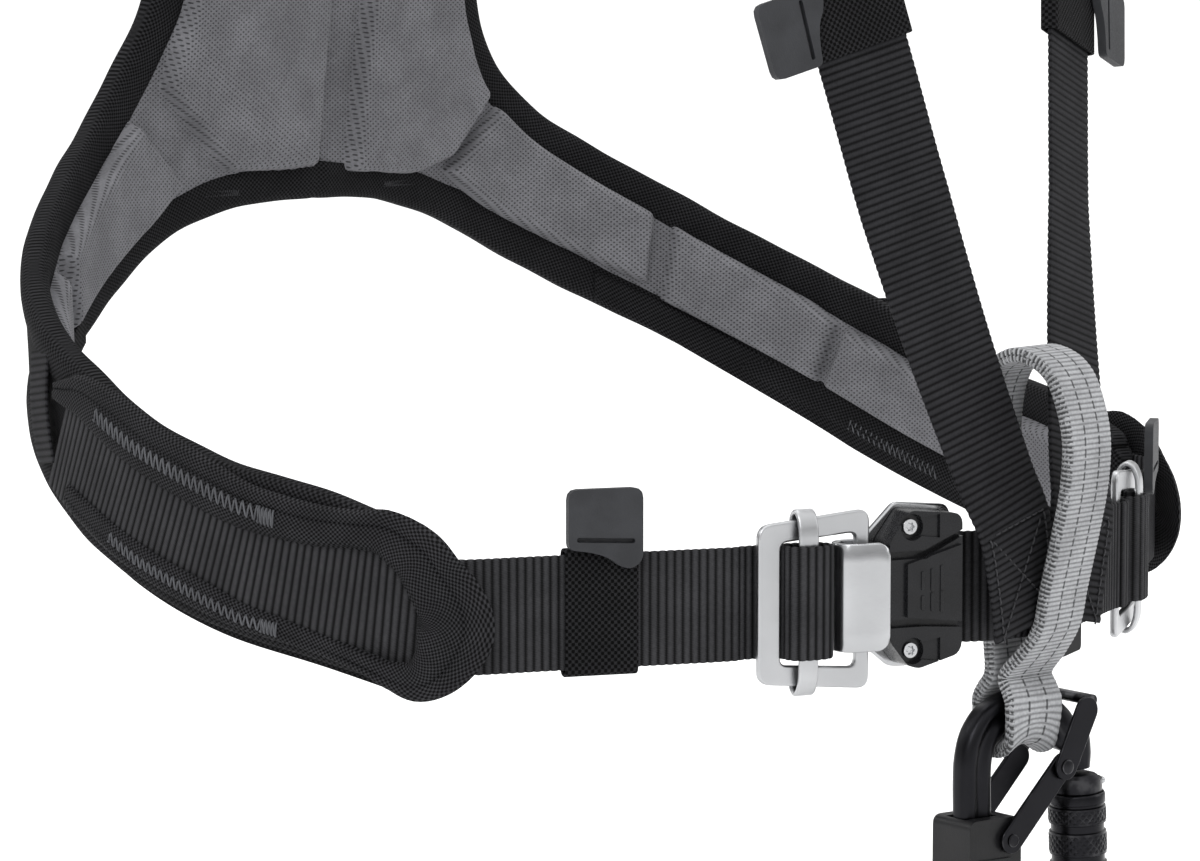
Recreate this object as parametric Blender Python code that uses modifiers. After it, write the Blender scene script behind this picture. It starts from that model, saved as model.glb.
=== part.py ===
"""Chest harness: padded yoke, webbing, adjusters, quick buckle, tie-in loop and locking carabiner.

Lengths are in millimetres and become metres when a mesh is made.  The wearer faces -Y with +Z up,
so the wearer's left is +X.  The origin is the centre of the space that the torso fills.
"""
import math

import bmesh
import bpy
import numpy as np
from mathutils import Matrix, Vector

# ---- driving dimensions, mm -------------------------------------------------------------------
MM = 0.001
WEBBING = 44.0              # width of the load-bearing webbing
WEB_T = 2.0                 # its thickness
GAP = 0.4                   # clear space kept between separate pieces
CHEST_Z = 20.0              # height of the chest webbing's middle at the front
BINDING_W = 14.0            # width of the padded edge binding
BINDING_T = 8.0
INSET = BINDING_W + 1.0     # where the yoke's sheets stop, inside the binding
SHELL_D, SHELL_T = 4.3, 1.4         # outer fabric: middle's distance outward, thickness
STRAP_D = 6.7               # the webbing's middle where it lies on the outer fabric
WING_END = 486.0            # the wing's front end, measured along the outline from the back seam
LINING_D, LINING_T = -4.1, 1.0      # mesh lining, on the wearer's side
FOAM_T = 6.2
LOOP_W, LOOP_T = 27.0, 5.6          # grey tie-in loop, two layers of webbing
PLATE_T = 3.0                       # steel plate of the frames and the buckle
FRAME_LENGTH = 48.0
FRAME_LOW, FRAME_HIGH = 61.0, 70.0  # the frame's height at its outer and inner bar
ADJUSTER = (-104.0, -199.0, 19.5)   # middle of the right chest adjuster
ADJUSTER_YAW = -23.1                # degrees from +X to the strap's run there
KEEPER_W = 29.0
KEEPER_AT = {1: 0.80, -1: 0.51}     # chest keepers: fraction of the free webbing, left and right
SWING_Z = -60.0                     # carabiner: centre of the round bow, below the eye
CARABINER_Y, CARABINER_YAW = -220.0, -13.0
BOW_R, BAND, BODY_T = 28.0, 15.0, 11.0      # bow's middle radius, height and thickness of the bar
GATE_HINGE = (34.5, -61.0)          # from the bow's centre, in the carabiner's plane
GATE_TOP = (31.6, -0.8)
SLEEVE_R, HEAD_R, ROD_R = 11.5, 10.4, 6.0
SLEEVE_LIFT, SLEEVE_TOP, SLEEVE_LENGTH = 3.0, 8.2, 41.0
ARM_D, ARM_T = 13.1, 2.0            # positioning bar's cheeks: distance from the middle, thickness
ARM_FOOT, ARM_ELBOW = (-13.5, -22.0), (12.5, 5.0)
CLIP_D, CLIP_T, CLIP_END = 15.5, 1.8, (23.0, 26.5)

# outline of the loop round the torso, from the back seam to the sternum, wearer's left side
OUTLINE = [(0, 173), (45, 177), (90, 176), (130, 167), (165, 151), (198, 130), (222, 105), (239, 75),
           (248, 42), (251, 6), (248, -32), (239, -72), (225, -112), (203, -146), (165, -172),
           (124, -190), (75, -211), (35, -227), (0, -233)]

# yoke: the armhole edge, from the wing's front end round the back and over the shoulder
ARMHOLE = [(224, -114, 50), (238, -73, 64), (248, -31, 73), (252, 9, 86), (248, 46, 103),
           (239, 80, 119), (222, 109, 136), (198, 132, 154), (170, 151, 172), (143, 165, 190),
           (119, 172, 214), (103, 169, 243), (98, 165, 270), (98, 157, 298), (101, 139, 328),
           (106, 108, 356), (111, 62, 377), (115, 12, 386), (118, -42, 384), (119, -96, 373),
           (119, -134, 357), (117, -160, 331)]
# the hem under the wing, the back seam and the neck edge face the armhole's points one by one
HEM = [(223, -116.5, -13), (239, -68, 0), (247, -20, 10), (247, 26, 25), (239, 67, 44), (222, 102, 63),
       (198, 131, 82), (164, 151, 101), (127, 167, 121), (89, 176, 141), (46, 177, 153), (0, 173, 156)]
SEAM = [(0, 173, 156), (0, 172, 225), (0, 168, 288)]
NECK = [(0, 168, 288), (31, 150, 325), (43, 110, 364), (49, 62, 390), (53, 12, 399), (56, -42, 397),
        (58, -98, 386), (60, -146, 359), (60, -178, 327)]

COLOURS = {
    "black_fabric": ((0.018, 0.018, 0.020), 0.85, 0.0),
    "grey_mesh": ((0.16, 0.16, 0.175), 0.9, 0.0),
    "foam": ((0.05, 0.05, 0.055), 0.95, 0.0),
    "black_webbing": ((0.020, 0.020, 0.022), 0.7, 0.0),
    "grey_webbing": ((0.42, 0.43, 0.45), 0.7, 0.0),
    "elastic": ((0.012, 0.012, 0.013), 0.8, 0.0),
    "rubber": ((0.055, 0.056, 0.060), 0.55, 0.0),
    "satin_aluminium": ((0.72, 0.73, 0.75), 0.3, 1.0),
    "steel": ((0.60, 0.61, 0.63), 0.25, 1.0),
    "grey_plastic": ((0.060, 0.061, 0.065), 0.4, 0.0),
    "black_anodised": ((0.020, 0.020, 0.023), 0.35, 0.6),
    "black_plastic": ((0.020, 0.020, 0.022), 0.45, 0.0),
}


def make_materials():
    made = {}
    for name, (colour, roughness, metallic) in COLOURS.items():
        material = bpy.data.materials.new(name)
        material.use_nodes = True
        shader = material.node_tree.nodes["Principled BSDF"]
        shader.inputs["Base Color"].default_value = (*colour, 1.0)
        shader.inputs["Roughness"].default_value = roughness
        shader.inputs["Metallic"].default_value = metallic
        made[name] = material
    return made


def start_scene():
    for old in list(bpy.data.objects):
        bpy.data.objects.remove(old, do_unlink=True)
    parts = bpy.data.collections.new("chest_harness")
    cutters = bpy.data.collections.new("cutters")
    bpy.context.scene.collection.children.link(parts)
    bpy.context.scene.collection.children.link(cutters)
    return parts, cutters


PARTS, CUTTERS = start_scene()
MATERIALS = make_materials()


# ---- general helpers --------------------------------------------------------------------------
def smooth_curve(points, steps, closed=False):
    """A Catmull-Rom curve through the points, with so many steps between each two."""
    p = np.asarray(points, float)
    if closed:
        padded = np.vstack([p[-1], p, p[0], p[1]])
    else:
        padded = np.vstack([2 * p[0] - p[1], p, 2 * p[-1] - p[-2]])
    out = []
    for k in range(len(padded) - 3):
        a, b, c, d = padded[k:k + 4]
        for i in range(steps):
            t = i / steps
            out.append(0.5 * (2 * b + (c - a) * t + (2 * a - 5 * b + 4 * c - d) * t ** 2
                              + (3 * b - a - 3 * c + d) * t ** 3))
    if not closed:
        out.append(p[-1])
    return np.array(out)


def resample(curve, count):
    """The same curve at so many evenly spaced points."""
    curve = np.asarray(curve, float)
    run = np.r_[0, np.cumsum(np.linalg.norm(np.diff(curve, axis=0), axis=1))]
    at = np.linspace(0, run[-1], count)
    return np.column_stack([np.interp(at, run, curve[:, k]) for k in range(curve.shape[1])])


def unit(vectors):
    vectors = np.asarray(vectors, float)
    return vectors / np.maximum(np.linalg.norm(vectors, axis=-1, keepdims=True), 1e-9)


def add_object(name, mesh, material, collection=None):
    thing = bpy.data.objects.new(name, mesh)
    (collection or PARTS).objects.link(thing)
    if material:
        mesh.materials.append(MATERIALS[material])
    return thing


def grid_sheet(name, rows, thickness, material, closed=False, place=None):
    """An open surface through rows of points, made solid evenly to both sides by Solidify."""
    bm = bmesh.new()
    made = [[bm.verts.new(Vector(p) * MM) for p in row] for row in rows]
    last = len(made) if closed else len(made) - 1
    for i in range(last):
        row, following = made[i], made[(i + 1) % len(made)]
        for j in range(len(row) - 1):
            bm.faces.new((row[j], row[j + 1], following[j + 1], following[j]))
    bmesh.ops.recalc_face_normals(bm, faces=bm.faces)
    mesh = bpy.data.meshes.new(name)
    bm.to_mesh(mesh)
    bm.free()
    sheet = add_object(name, mesh, material)
    solid = sheet.modifiers.new("thickness", "SOLIDIFY")
    solid.thickness = thickness * MM
    solid.offset = 0.0
    solid.use_even_offset = True
    if place is not None:
        sheet.matrix_world = place
    return sheet


def ribbon(name, path, across, width, thickness, material, closed=False, place=None):
    """Webbing or strip: its middle line and the direction of its width at each point."""
    path, across = np.asarray(path, float), unit(across)
    rows = [(p - w * width / 2, p + w * width / 2) for p, w in zip(path, across)]
    return grid_sheet(name, rows, thickness, material, closed, place)


def plate(name, outline, low, high, material, place, bevel=0.0, collection=None):
    """A flat piece: an outline in the local X-Z plane, from depth low to high along local -Y."""
    bm = bmesh.new()
    face = bm.faces.new([bm.verts.new((x * MM, -low * MM, z * MM)) for x, z in outline])
    made = bmesh.ops.extrude_face_region(bm, geom=[face])
    moved = [v for v in made["geom"] if isinstance(v, bmesh.types.BMVert)]
    bmesh.ops.translate(bm, verts=moved, vec=(0, -(high - low) * MM, 0))
    bmesh.ops.recalc_face_normals(bm, faces=bm.faces)
    mesh = bpy.data.meshes.new(name)
    bm.to_mesh(mesh)
    bm.free()
    thing = add_object(name, mesh, material, collection)
    thing.matrix_world = place
    if bevel:
        edge = thing.modifiers.new("edges", "BEVEL")
        edge.width = bevel * MM
        edge.segments = 1
        edge.limit_method = "ANGLE"
        edge.angle_limit = math.radians(40)
    return thing


def rod(name, start, end, radius, material, place, sides=16, collection=None):
    """A cylinder between two local points."""
    start, end = Vector(start) * MM, Vector(end) * MM
    axis = end - start
    bm = bmesh.new()
    bmesh.ops.create_cone(bm, cap_ends=True, segments=sides, radius1=radius * MM,
                          radius2=radius * MM, depth=axis.length)
    turn = Vector((0, 0, 1)).rotation_difference(axis).to_matrix().to_4x4()
    bmesh.ops.transform(bm, matrix=Matrix.Translation((start + end) / 2) @ turn, verts=bm.verts)
    mesh = bpy.data.meshes.new(name)
    bm.to_mesh(mesh)
    bm.free()
    thing = add_object(name, mesh, material, collection)
    thing.matrix_world = place
    return thing


def turned(name, profile, material, place, closed=False, sides=24):
    """A turned piece: a profile of (radius, height), from the top down its outer side."""
    mesh = bpy.data.meshes.new(name)
    points = [(r * MM, 0, h * MM) for r, h in profile]
    edges = [(i, i + 1) for i in range(len(points) - 1)]
    if closed:
        edges.append((len(points) - 1, 0))
    mesh.from_pydata(points, edges, [])
    thing = add_object(name, mesh, material)
    screw = thing.modifiers.new("turn", "SCREW")
    screw.steps = sides
    screw.render_steps = sides
    screw.use_merge_vertices = True
    screw.merge_threshold = 0.00001
    thing.matrix_world = place
    return thing


def as_cutter(thing):
    for collection in thing.users_collection:
        collection.objects.unlink(thing)
    CUTTERS.objects.link(thing)
    thing.hide_render = True
    thing.display_type = "WIRE"
    return thing


def combine(thing, other, operation):
    """Cut the other piece away, or join it on, by a Boolean."""
    as_cutter(other)
    boolean = thing.modifiers.new(operation.lower(), "BOOLEAN")
    boolean.operation = operation
    boolean.object = other
    boolean.solver = "EXACT"


def rounded_outline(corners, radius, steps=3):
    """A polygon whose corners are rounded by arcs."""
    out = []
    count = len(corners)
    for k in range(count):
        before, here, after = (Vector((*corners[(k + i) % count], 0)) for i in (-1, 0, 1))
        r = min(radius, (before - here).length * 0.45, (after - here).length * 0.45)
        first = here + (before - here).normalized() * r
        last = here + (after - here).normalized() * r
        for i in range(steps + 1):
            t = i / steps
            point = first * (1 - t) ** 2 + here * 2 * t * (1 - t) + last * t ** 2
            out.append((point.x, point.y))
    return out


# ---- the torso outline ------------------------------------------------------------------------
FINE = smooth_curve(OUTLINE, 16)
FINE_RUN = np.r_[0, np.cumsum(np.linalg.norm(np.diff(FINE, axis=0), axis=1))]


def on_outline(run, side, out=0.0):
    """Point on the torso outline at a distance from the back seam, and a distance outward."""
    run = min(run, 2 * FINE_RUN[-1] - run)
    here = np.array([np.interp(run, FINE_RUN, FINE[:, k]) for k in (0, 1)])
    ahead = np.array([np.interp(run + 1, FINE_RUN, FINE[:, k]) for k in (0, 1)])
    behind = np.array([np.interp(run - 1, FINE_RUN, FINE[:, k]) for k in (0, 1)])
    along = unit(ahead - behind)
    outward = np.array([-along[1], along[0]])
    if np.dot(outward, here) < 0:
        outward = -outward
    point = here + outward * out
    return np.array([point[0] * side, point[1]])


def on_wall(run, height, side, out=0.0):
    x, y = on_outline(run, side, out)
    return np.array([x, y, height])


# ---- the yoke ---------------------------------------------------------------------------------
YOKE_STEPS = 2


def yoke_edges():
    """The half yoke's two long edges, with the same number of points on each."""
    armhole = smooth_curve(ARMHOLE, YOKE_STEPS)
    hem, seam, neck = (smooth_curve(line, YOKE_STEPS) for line in (HEM, SEAM, NECK))
    facing = np.vstack([hem[:-1], seam[:-1], neck])
    return armhole, facing, len(hem) - 1, len(hem) + len(seam) - 2


ARM_EDGE, FACING_EDGE, HEM_END, SEAM_END = yoke_edges()


def edge_frames(edge, other):
    """Directions at each point of an edge: along it, inward across the cloth, and outward."""
    along = unit(np.gradient(edge, axis=0))
    toward = unit(other - edge)
    outward = unit(np.cross(along, toward))
    inward = unit(np.cross(outward, along))
    return along, inward, outward


def yoke_inset(distance):
    """Both edges moved inward; the back seam stays on the middle plane."""
    _, arm_in, _ = edge_frames(ARM_EDGE, FACING_EDGE)
    low = FACING_EDGE.copy()
    pieces = [(0, HEM_END + 1), (SEAM_END, len(low))]
    for first, last in pieces:
        _, inward, _ = edge_frames(FACING_EDGE[first:last], ARM_EDGE[first:last])
        low[first:last] = FACING_EDGE[first:last] + inward * distance
    low[HEM_END] = FACING_EDGE[HEM_END] + np.array([0, 0, distance])
    low[SEAM_END] = FACING_EDGE[SEAM_END] - np.array([0, 0, distance * 1.25])
    low[HEM_END:SEAM_END + 1, 0] = 0.0
    low[:, 0] = np.maximum(low[:, 0], 0.0)
    return ARM_EDGE + arm_in * distance, low


def yoke_rows(first, last, low, high, inset, depth, across=3):
    """Rows of the half yoke between two stations and two fractions of its width."""
    top, bottom = yoke_inset(inset)
    grid = []
    for k in range(len(top)):
        grid.append([top[k] + (bottom[k] - top[k]) * v for v in np.linspace(low, high, across + 1)])
    grid = np.array(grid)
    along = np.gradient(grid, axis=0)
    down = np.gradient(grid, axis=1)
    outward = unit(np.cross(down, along))
    outward[np.abs(grid[:, :, 0]) < 1e-6, 0] = 0.0
    outward = unit(outward)
    return (grid + outward * depth)[first:last + 1]


def mirror_x(thing):
    mirror = thing.modifiers.new("mirror", "MIRROR")
    mirror.merge_threshold = 0.00001
    thing.modifiers.move(len(thing.modifiers) - 1, 0)


def to_side(rows, side):
    return [[(p[0] * side, p[1], p[2]) for p in row] for row in rows]


def make_yoke():
    last = len(ARM_EDGE) - 1
    shell = grid_sheet("yoke_shell", yoke_rows(0, last, 0, 1, INSET, SHELL_D), SHELL_T,
                       "black_fabric")
    mirror_x(shell)
    lining = grid_sheet("yoke_lining", yoke_rows(0, last, 0, 1, INSET, LINING_D), LINING_T,
                        "grey_mesh")
    mirror_x(lining)
    # (name, first and last station, low and high fraction of the width)
    pads = [("foam_wing_front", 3, 9, 0.10, 0.90), ("foam_wing_rear", 11, 17, 0.08, 0.92),
            ("foam_back", 21, 25, 0.12, 0.93), ("foam_shoulder", 29, 41, 0.10, 0.90)]
    for name, first, end, low, high in pads:
        rows = yoke_rows(first, end, low, high, INSET, 0.1)
        for side, word in ((1, "left"), (-1, "right")):
            grid_sheet(f"{name}_{word}", to_side(rows, side), FOAM_T, "foam")


def binding_rows(edge, other, width):
    """A band just inside an edge, two quads across."""
    _, inward, _ = edge_frames(edge, other)
    rows = [[p, p + w * width / 2, p + w * width] for p, w in zip(edge, inward)]
    return np.array(rows)


def make_bindings():
    rows = binding_rows(ARM_EDGE, FACING_EDGE, BINDING_W)
    for side, word in ((1, "left"), (-1, "right")):
        grid_sheet(f"armhole_binding_{word}", to_side(rows, side), BINDING_T, "black_fabric")
    hem = binding_rows(FACING_EDGE[:HEM_END + 1], ARM_EDGE[:HEM_END + 1], BINDING_W)
    hem[-1] = [FACING_EDGE[HEM_END] + np.array([0, 0, BINDING_W * f]) for f in (0, 0.5, 1)]
    hem[-1][:, 0] = 0.0
    mirror_x(grid_sheet("hem_binding", hem, BINDING_T, "black_fabric"))
    neck = binding_rows(FACING_EDGE[SEAM_END:], ARM_EDGE[SEAM_END:], BINDING_W)
    neck[0] = [FACING_EDGE[SEAM_END] - np.array([0, 0, BINDING_W * 1.25 * f]) for f in (0, 0.5, 1)]
    neck[0][:, 0] = 0.0
    mirror_x(grid_sheet("neck_binding", neck, BINDING_T, "black_fabric"))


def make_arches():
    """The padded loop at each wing's front end, which the chest webbing runs under."""
    top, foot = np.array(ARMHOLE[0], float), np.array(HEM[0], float)
    forward, outward = np.array([-0.05, -1.0, 0.0]), np.array([1.0, -0.05, 0.0])
    middle, half = (top + foot) / 2, (top - foot) / 2
    path, across = [], []
    for k in range(11):
        angle = math.pi * (0.5 - k / 10)
        rise, reach = math.sin(angle), math.cos(angle)
        path.append(middle + half * rise * 0.97 + forward * (17 * reach + 9.5)
                    + outward * (7 + 7 * math.sqrt(reach)))
        across.append(unit(half) * rise * 0.75 + forward * (reach + 0.3))
    for side, word in ((1, "left"), (-1, "right")):
        flip = np.array([side, 1, 1])
        ribbon(f"wing_arch_{word}", np.array(path) * flip, np.array(across) * flip, 12, 5,
               "black_fabric")


# ---- chest webbing, adjusters and buckle ---------------------------------------------------------
def place_at(origin, along, up):
    """Local X along the strap, local Z up its width, local -Y outward."""
    x = Vector(along).normalized()
    z = (Vector(up) - x * x.dot(Vector(up))).normalized()
    y = z.cross(x)
    turn = Matrix((x, y, z)).transposed().to_4x4()
    return Matrix.Translation(Vector(origin) * MM) @ turn


def chest_place(side):
    """Frame of a chest adjuster: local +X runs toward the sternum on both sides."""
    yaw = math.radians(ADJUSTER_YAW)
    along = Vector((math.cos(yaw), math.sin(yaw), 0))
    if side < 0:
        return place_at(ADJUSTER, along, (0, 0, 1))
    return place_at((-ADJUSTER[0], ADJUSTER[1], ADJUSTER[2]), (-along.x, along.y, 0), (0, 0, -1))


# the webbing's way through an adjuster, as (along, outward) in the adjuster's frame
THREAD = [(-27, -5.6), (-14, -5.8), (-1.5, -5.5), (4.4, -3.4), (6.6, 0.4), (5.6, 4.6), (1.6, 7.1),
          (-5.5, 7.4), (-9.8, 6.4), (-11.8, 2.8), (-12.0, -0.4), (-14.6, -3.1), (-22, -3.3)]


def threaded(place, middle):
    """The threaded stretch of a strap in row millimetres; middle is the strap's local height."""
    inverse = 1 / MM
    return [np.array(place @ (Vector((a, -d, middle)) * MM)) * inverse for a, d in THREAD]


def free_run(side):
    """The straight webbing between the wing's arch and the adjuster: its two ends."""
    start = on_wall(WING_END, CHEST_Z, side, STRAP_D + 0.9)
    end = threaded(chest_place(side), middle_height(side))[0]
    return start, end - (end - start) * 0.07 + np.array([0.8 * side, -1.8, 0])


def middle_height(side):
    """The chest webbing's middle in an adjuster's own frame."""
    return (ADJUSTER[2] - CHEST_Z) * side


def make_chest_strap(side, word):
    heights = [(279, 78), (310, 63), (343, 48), (394, 32), (438, 24), (462, 21)]
    path = [on_wall(run, height, side, STRAP_D) for run, height in heights]
    path.append(on_wall(WING_END - 12, CHEST_Z, side, STRAP_D))
    start, end = free_run(side)
    path += [start + (end - start) * f for f in (0, 0.3, 0.7, 1)]
    line = smooth_curve(path + threaded(chest_place(side), middle_height(side)), 4)
    along = unit(np.gradient(line, axis=0))
    lean = np.clip(along[:, 2], -0.6, 0.6) * (line[:, 1] > -150)
    flat = along.copy()
    flat[:, 2] = 0
    across = np.array([0.0, 0.0, 1.0]) - unit(flat) * lean[:, None]
    ribbon(f"chest_strap_{word}", line, across, WEBBING, WEB_T, "black_webbing")


def make_frame(name, place):
    """Ladder frame: a steel plate, taller at its inner bar, with one window."""
    half, low, high = FRAME_LENGTH / 2, FRAME_LOW / 2, FRAME_HIGH / 2
    outline = rounded_outline([(-half, -low), (half, -high), (half, high), (-half, low)], 5)
    frame = plate(name, outline, -PLATE_T / 2, PLATE_T / 2, "satin_aluminium", place)
    window = rounded_outline([(-14.5, -23.5), (18, -26), (18, 26), (-14.5, 23.5)], 2, steps=1)
    hole = plate(f"{name}_window", window, -PLATE_T, PLATE_T, None, place)
    combine(frame, hole, "DIFFERENCE")
    return frame


def make_slider(name, place):
    """Slider bar: crosses the window in front of the frame and hooks round both rails."""
    x = -4.2
    rail = FRAME_LOW / 2 + (x + FRAME_LENGTH / 2) / FRAME_LENGTH * (FRAME_HIGH - FRAME_LOW) / 2
    clear = 1.4
    reach = rail + clear + 1.0
    behind, front = -PLATE_T / 2 - clear - 1.0, 4.6
    half = [(front, 0), (front, 12), (front, 23), (front, rail - 2.5), (front - 1.4, reach - 0.9),
            (0.6, reach), (behind + 0.8, reach - 0.9), (behind, rail - 2.4), (behind, rail - 5.5)]
    lower = [(d, -z) for d, z in reversed(half[1:])]
    line = [(x, -d, z) for d, z in lower + half]
    ribbon(name, line, np.tile([1.0, 0, 0], (len(line), 1)), 8.4, WEB_T, "satin_aluminium",
           place=place)


def make_buckle(place):
    """The steel base with its hook, the plastic cover, two screws and two release levers."""
    hook_line = [(28.6, 8.3), (22, 8.6), (15.4, 8.3), (11.2, 6.3), (9.6, 1.8), (11.0, -2.6),
                 (14.5, -5.4), (20, -6.2), (34, -6.2)]
    line = smooth_curve([(a, -d, 1.5) for a, d in hook_line], 3)
    base_outline = [(25, -19), (36, -28), (44, -28.5), (61, -24), (63, -21), (63, 31), (61, 34),
                    (38, 36), (25, 23.5)]
    base = plate("buckle_base", base_outline, -7.4, -4.6, "steel", place)
    hook = ribbon("buckle_hook", line, np.tile([0.0, 0, 1.0], (len(line), 1)), 42.0, 2.6, "steel",
                  place=place)
    combine(base, hook, "UNION")
    slot = plate("webbing_slot", [(53.5, -21.5), (57.5, -21.5), (57.5, 24.5), (53.5, 24.5)],
                 -9, -3, None, place)
    combine(base, slot, "DIFFERENCE")

    cover_outline = [(29, -16), (37, -26), (42, -27.5), (59, -23), (61, -20), (61, 29.5), (59, 32),
                     (38, 34), (29, 22)]
    cover = plate("buckle_cover", cover_outline, -4.2, 8.6, "grey_plastic", place, bevel=2.2)
    for k, (z, lean) in enumerate(((16.8, 6.0), (-9.6, -1.0))):
        slit = plate(f"slit_{k}", [(27, z - 1.9), (44, z - 1.9), (52, z - 1.3 + lean),
                                   (52, z + 1.3 + lean), (44, z + 1.9), (27, z + 1.9)],
                     0.8, 10, None, place)
        combine(cover, slit, "DIFFERENCE")
    for k, (x, z) in enumerate(((39, 27.5), (39.5, -20.5))):
        pocket = rod(f"screw_pocket_{k}", (x, -3.6, z), (x, -12, z), 4.6, None, place)
        combine(cover, pocket, "DIFFERENCE")
        rod(f"cover_screw_{k + 1}", (x, -4.0, z), (x, -6.6, z), 4.0, "steel", place, sides=16)
    for k, (z, word) in enumerate(((16.8, "upper"), (-9.6, "lower"))):
        rod(f"release_lever_{word}", (25.5, -3.2, z), (38.0, -3.2, z), 1.2, "steel", place, sides=10)


def loop_round_bar(place, middle, out):
    """Webbing doubled round a frame's inner bar, as row points; it leaves at this distance out."""
    way = [(32, -4.4), (22, -4.9), (15.5, -4.4), (13.2, -1.2), (14.4, 2.4), (18, 4.0), (24, 4.0),
           (30, out)]
    return [np.array(place @ (Vector((a, -d, middle)) * MM)) / MM for a, d in way]


def make_sternal_strap():
    """The short webbing across the breastbone, from the left adjuster to the buckle."""
    left = loop_round_bar(chest_place(1), middle_height(1), 1.2)
    run = [on_wall(692, CHEST_Z, 1, -1.5), (14.0, SURFACE_Y + 0.8, CHEST_Z),
           (-8.0, SURFACE_Y + 0.5, CHEST_Z), (-26.0, SURFACE_Y + 5.6, CHEST_Z)]
    right = chest_place(-1)
    end = [np.array(right @ (Vector((a, -d, middle_height(-1))) * MM)) / MM
           for a, d in ((70, -9.0), (62, -9.6), (50, -9.8))]
    line = smooth_curve(left + run + end, 5)
    ribbon("sternal_strap", line, np.tile([0.0, 0, 1.0], (len(line), 1)), WEBBING, WEB_T,
           "black_webbing")


# ---- shoulder webbing -----------------------------------------------------------------------
SURFACE_Y = -230.4          # the sternal strap's middle at the breastbone
SHOULDER_ADJUSTER = (80.9, -188.4, 288.0)
SHOULDER_ALONG = (0.221, 0.169, 0.961)
SHOULDER_OUT = (0.28, -0.96, 0.10)
SHOULDER_RUN = [(15, 3), (19, 24), (24.3, 45), (30, 66), (42, 116), (54, 169), (64, 213), (71, 243), (75, 260)]


def shoulder_place(side, origin):
    along = Vector(SHOULDER_ALONG)
    out = Vector(SHOULDER_OUT)
    along.x *= side
    out.x *= side
    return place_at((origin[0] * side, origin[1], origin[2]), along, out.cross(along))


def shoulder_depth(height):
    """The strap lies on the breastbone at its foot and leans back toward the collarbone."""
    return SURFACE_Y + max(0, min(0.182 * (height - 24), 0.30 * (height - 46)))


def make_shoulder_strap(side, word, layer):
    place = shoulder_place(side, SHOULDER_ADJUSTER)
    path = []
    for x, z in SHOULDER_RUN:
        y = shoulder_depth(z) - layer * (1 - min(max((z - 60) / 100, 0), 1))
        path.append(np.array([x * side, y, z]))
    through = threaded(place, 0.0)
    line = smooth_curve(path + through[1:], 4)
    along = unit(np.gradient(line, axis=0))
    rise = np.clip((line[:, 2] - 24) / 145, 0, 1)[:, None]
    out = unit(np.array([0.0, -1, 0.1]) * (1 - rise) + np.array(SHOULDER_OUT) * (side, 1, 1) * rise)
    across = np.cross(out, unit(np.array([0.23 * side, 0.17, 0.96])) * np.ones_like(along))
    ribbon(f"shoulder_strap_{word}", line, across, WEBBING, WEB_T, "black_webbing")

    station = range(len(ARM_EDGE) - 1, len(ARM_EDGE) - 9, -1)
    rows = yoke_rows(0, len(ARM_EDGE) - 1, 0, 1, INSET, STRAP_D + 2.8, across=2)
    over_pad = [rows[k][1] * (side, 1, 1) for k in station]
    pad_across = [unit(rows[k][0] - rows[k][2]) * (side, 1, 1) for k in station]
    loop = loop_round_bar(place, 0.0, 1.2)
    line = smooth_curve(loop + over_pad[1:], 4)
    z_local = np.array(place.to_3x3() @ Vector((0, 0, 1)))
    turns = [z_local] * len(loop)
    turns += [w * np.sign(np.dot(w, z_local)) for w in pad_across[1:]]
    across = smooth_curve(turns, 4)
    ribbon(f"pad_strap_{word}", line, across, WEBBING, WEB_T, "black_webbing")


# ---- elastic keepers with their rubber tabs ---------------------------------------------------
def make_keeper(name, place, flip=1):
    half, depth, t = WEBBING / 2 + 1.8, 3.0, 1.2
    ring = rounded_outline([(-half, -depth), (half, -depth), (half, depth), (-half, depth)], 2.4, 2)
    line = [(0, d, z) for z, d in ring]
    ribbon(f"{name}_elastic", line, np.tile([1.0, 0, 0], (len(line), 1)), KEEPER_W, t, "elastic",
           closed=True, place=place)
    side = KEEPER_W / 2 + 0.3
    low, high = 17.0, 47.0
    outline = rounded_outline([(-side, low), (side, low), (side, high), (-side, high)], 5)
    if flip < 0:
        outline = [(x, -z) for x, z in outline]
    plate(f"{name}_tab", outline, depth + 1.2, depth + 4.4, "rubber", place, bevel=0.8)


# ---- the grey tie-in loop -----------------------------------------------------------------------
# middle line of the doubled webbing, as (y, z): over the top, down the front, eye, up the back
LOOP_LINE = [(-232, 109), (-241, 104.5), (-247, 96), (-252, 79), (-252.5, 60), (-250, 40),
             (-245, 18), (-241.4, 3), (-234, -8), (-224.4, -17.5), (-227.4, -24), (-229.9, -28.6),
             (-229.6, -35.5), (-227.2, -41.4), (-220, -43.8), (-212.8, -41.4), (-210.4, -35.5),
             (-210.1, -28.6), (-212.6, -24), (-216.6, -17.5), (-215.5, -6), (-213.5, 6),
             (-211.5, 30), (-209.5, 60), (-209.5, 86), (-214, 102), (-223, 109)]


def make_tie_in_loop():
    line = smooth_curve(LOOP_LINE, 2, closed=True)
    rows = []
    for y, z in line:
        twist = math.radians(CARABINER_YAW) * min(max(-z / 30, 0), 1)
        eye = min(max((-30 - z) / 10, 0), 1)
        row = []
        for f in (-1, -0.5, 0, 0.5, 1):
            x = f * LOOP_W / 2 * (1 - 0.1 * eye)
            away = y - CARABINER_Y
            row.append((x * math.cos(twist) - away * math.sin(twist),
                        CARABINER_Y + x * math.sin(twist) + away * math.cos(twist),
                        z - 5.4 * f * f * eye))
        rows.append(row)
    grid_sheet("tie_in_loop", rows, LOOP_T, "grey_webbing", closed=True)


def make_tag():
    place = place_at((34.0, -224.9, 0.0), (0.953, 0.303, 0), (0, 0, 1))
    plate("sewn_tag", rounded_outline([(-12, -14), (12, -14), (12, 5), (-12, 5)], 3), -3.2, -2.2,
          "black_fabric", place)


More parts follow.
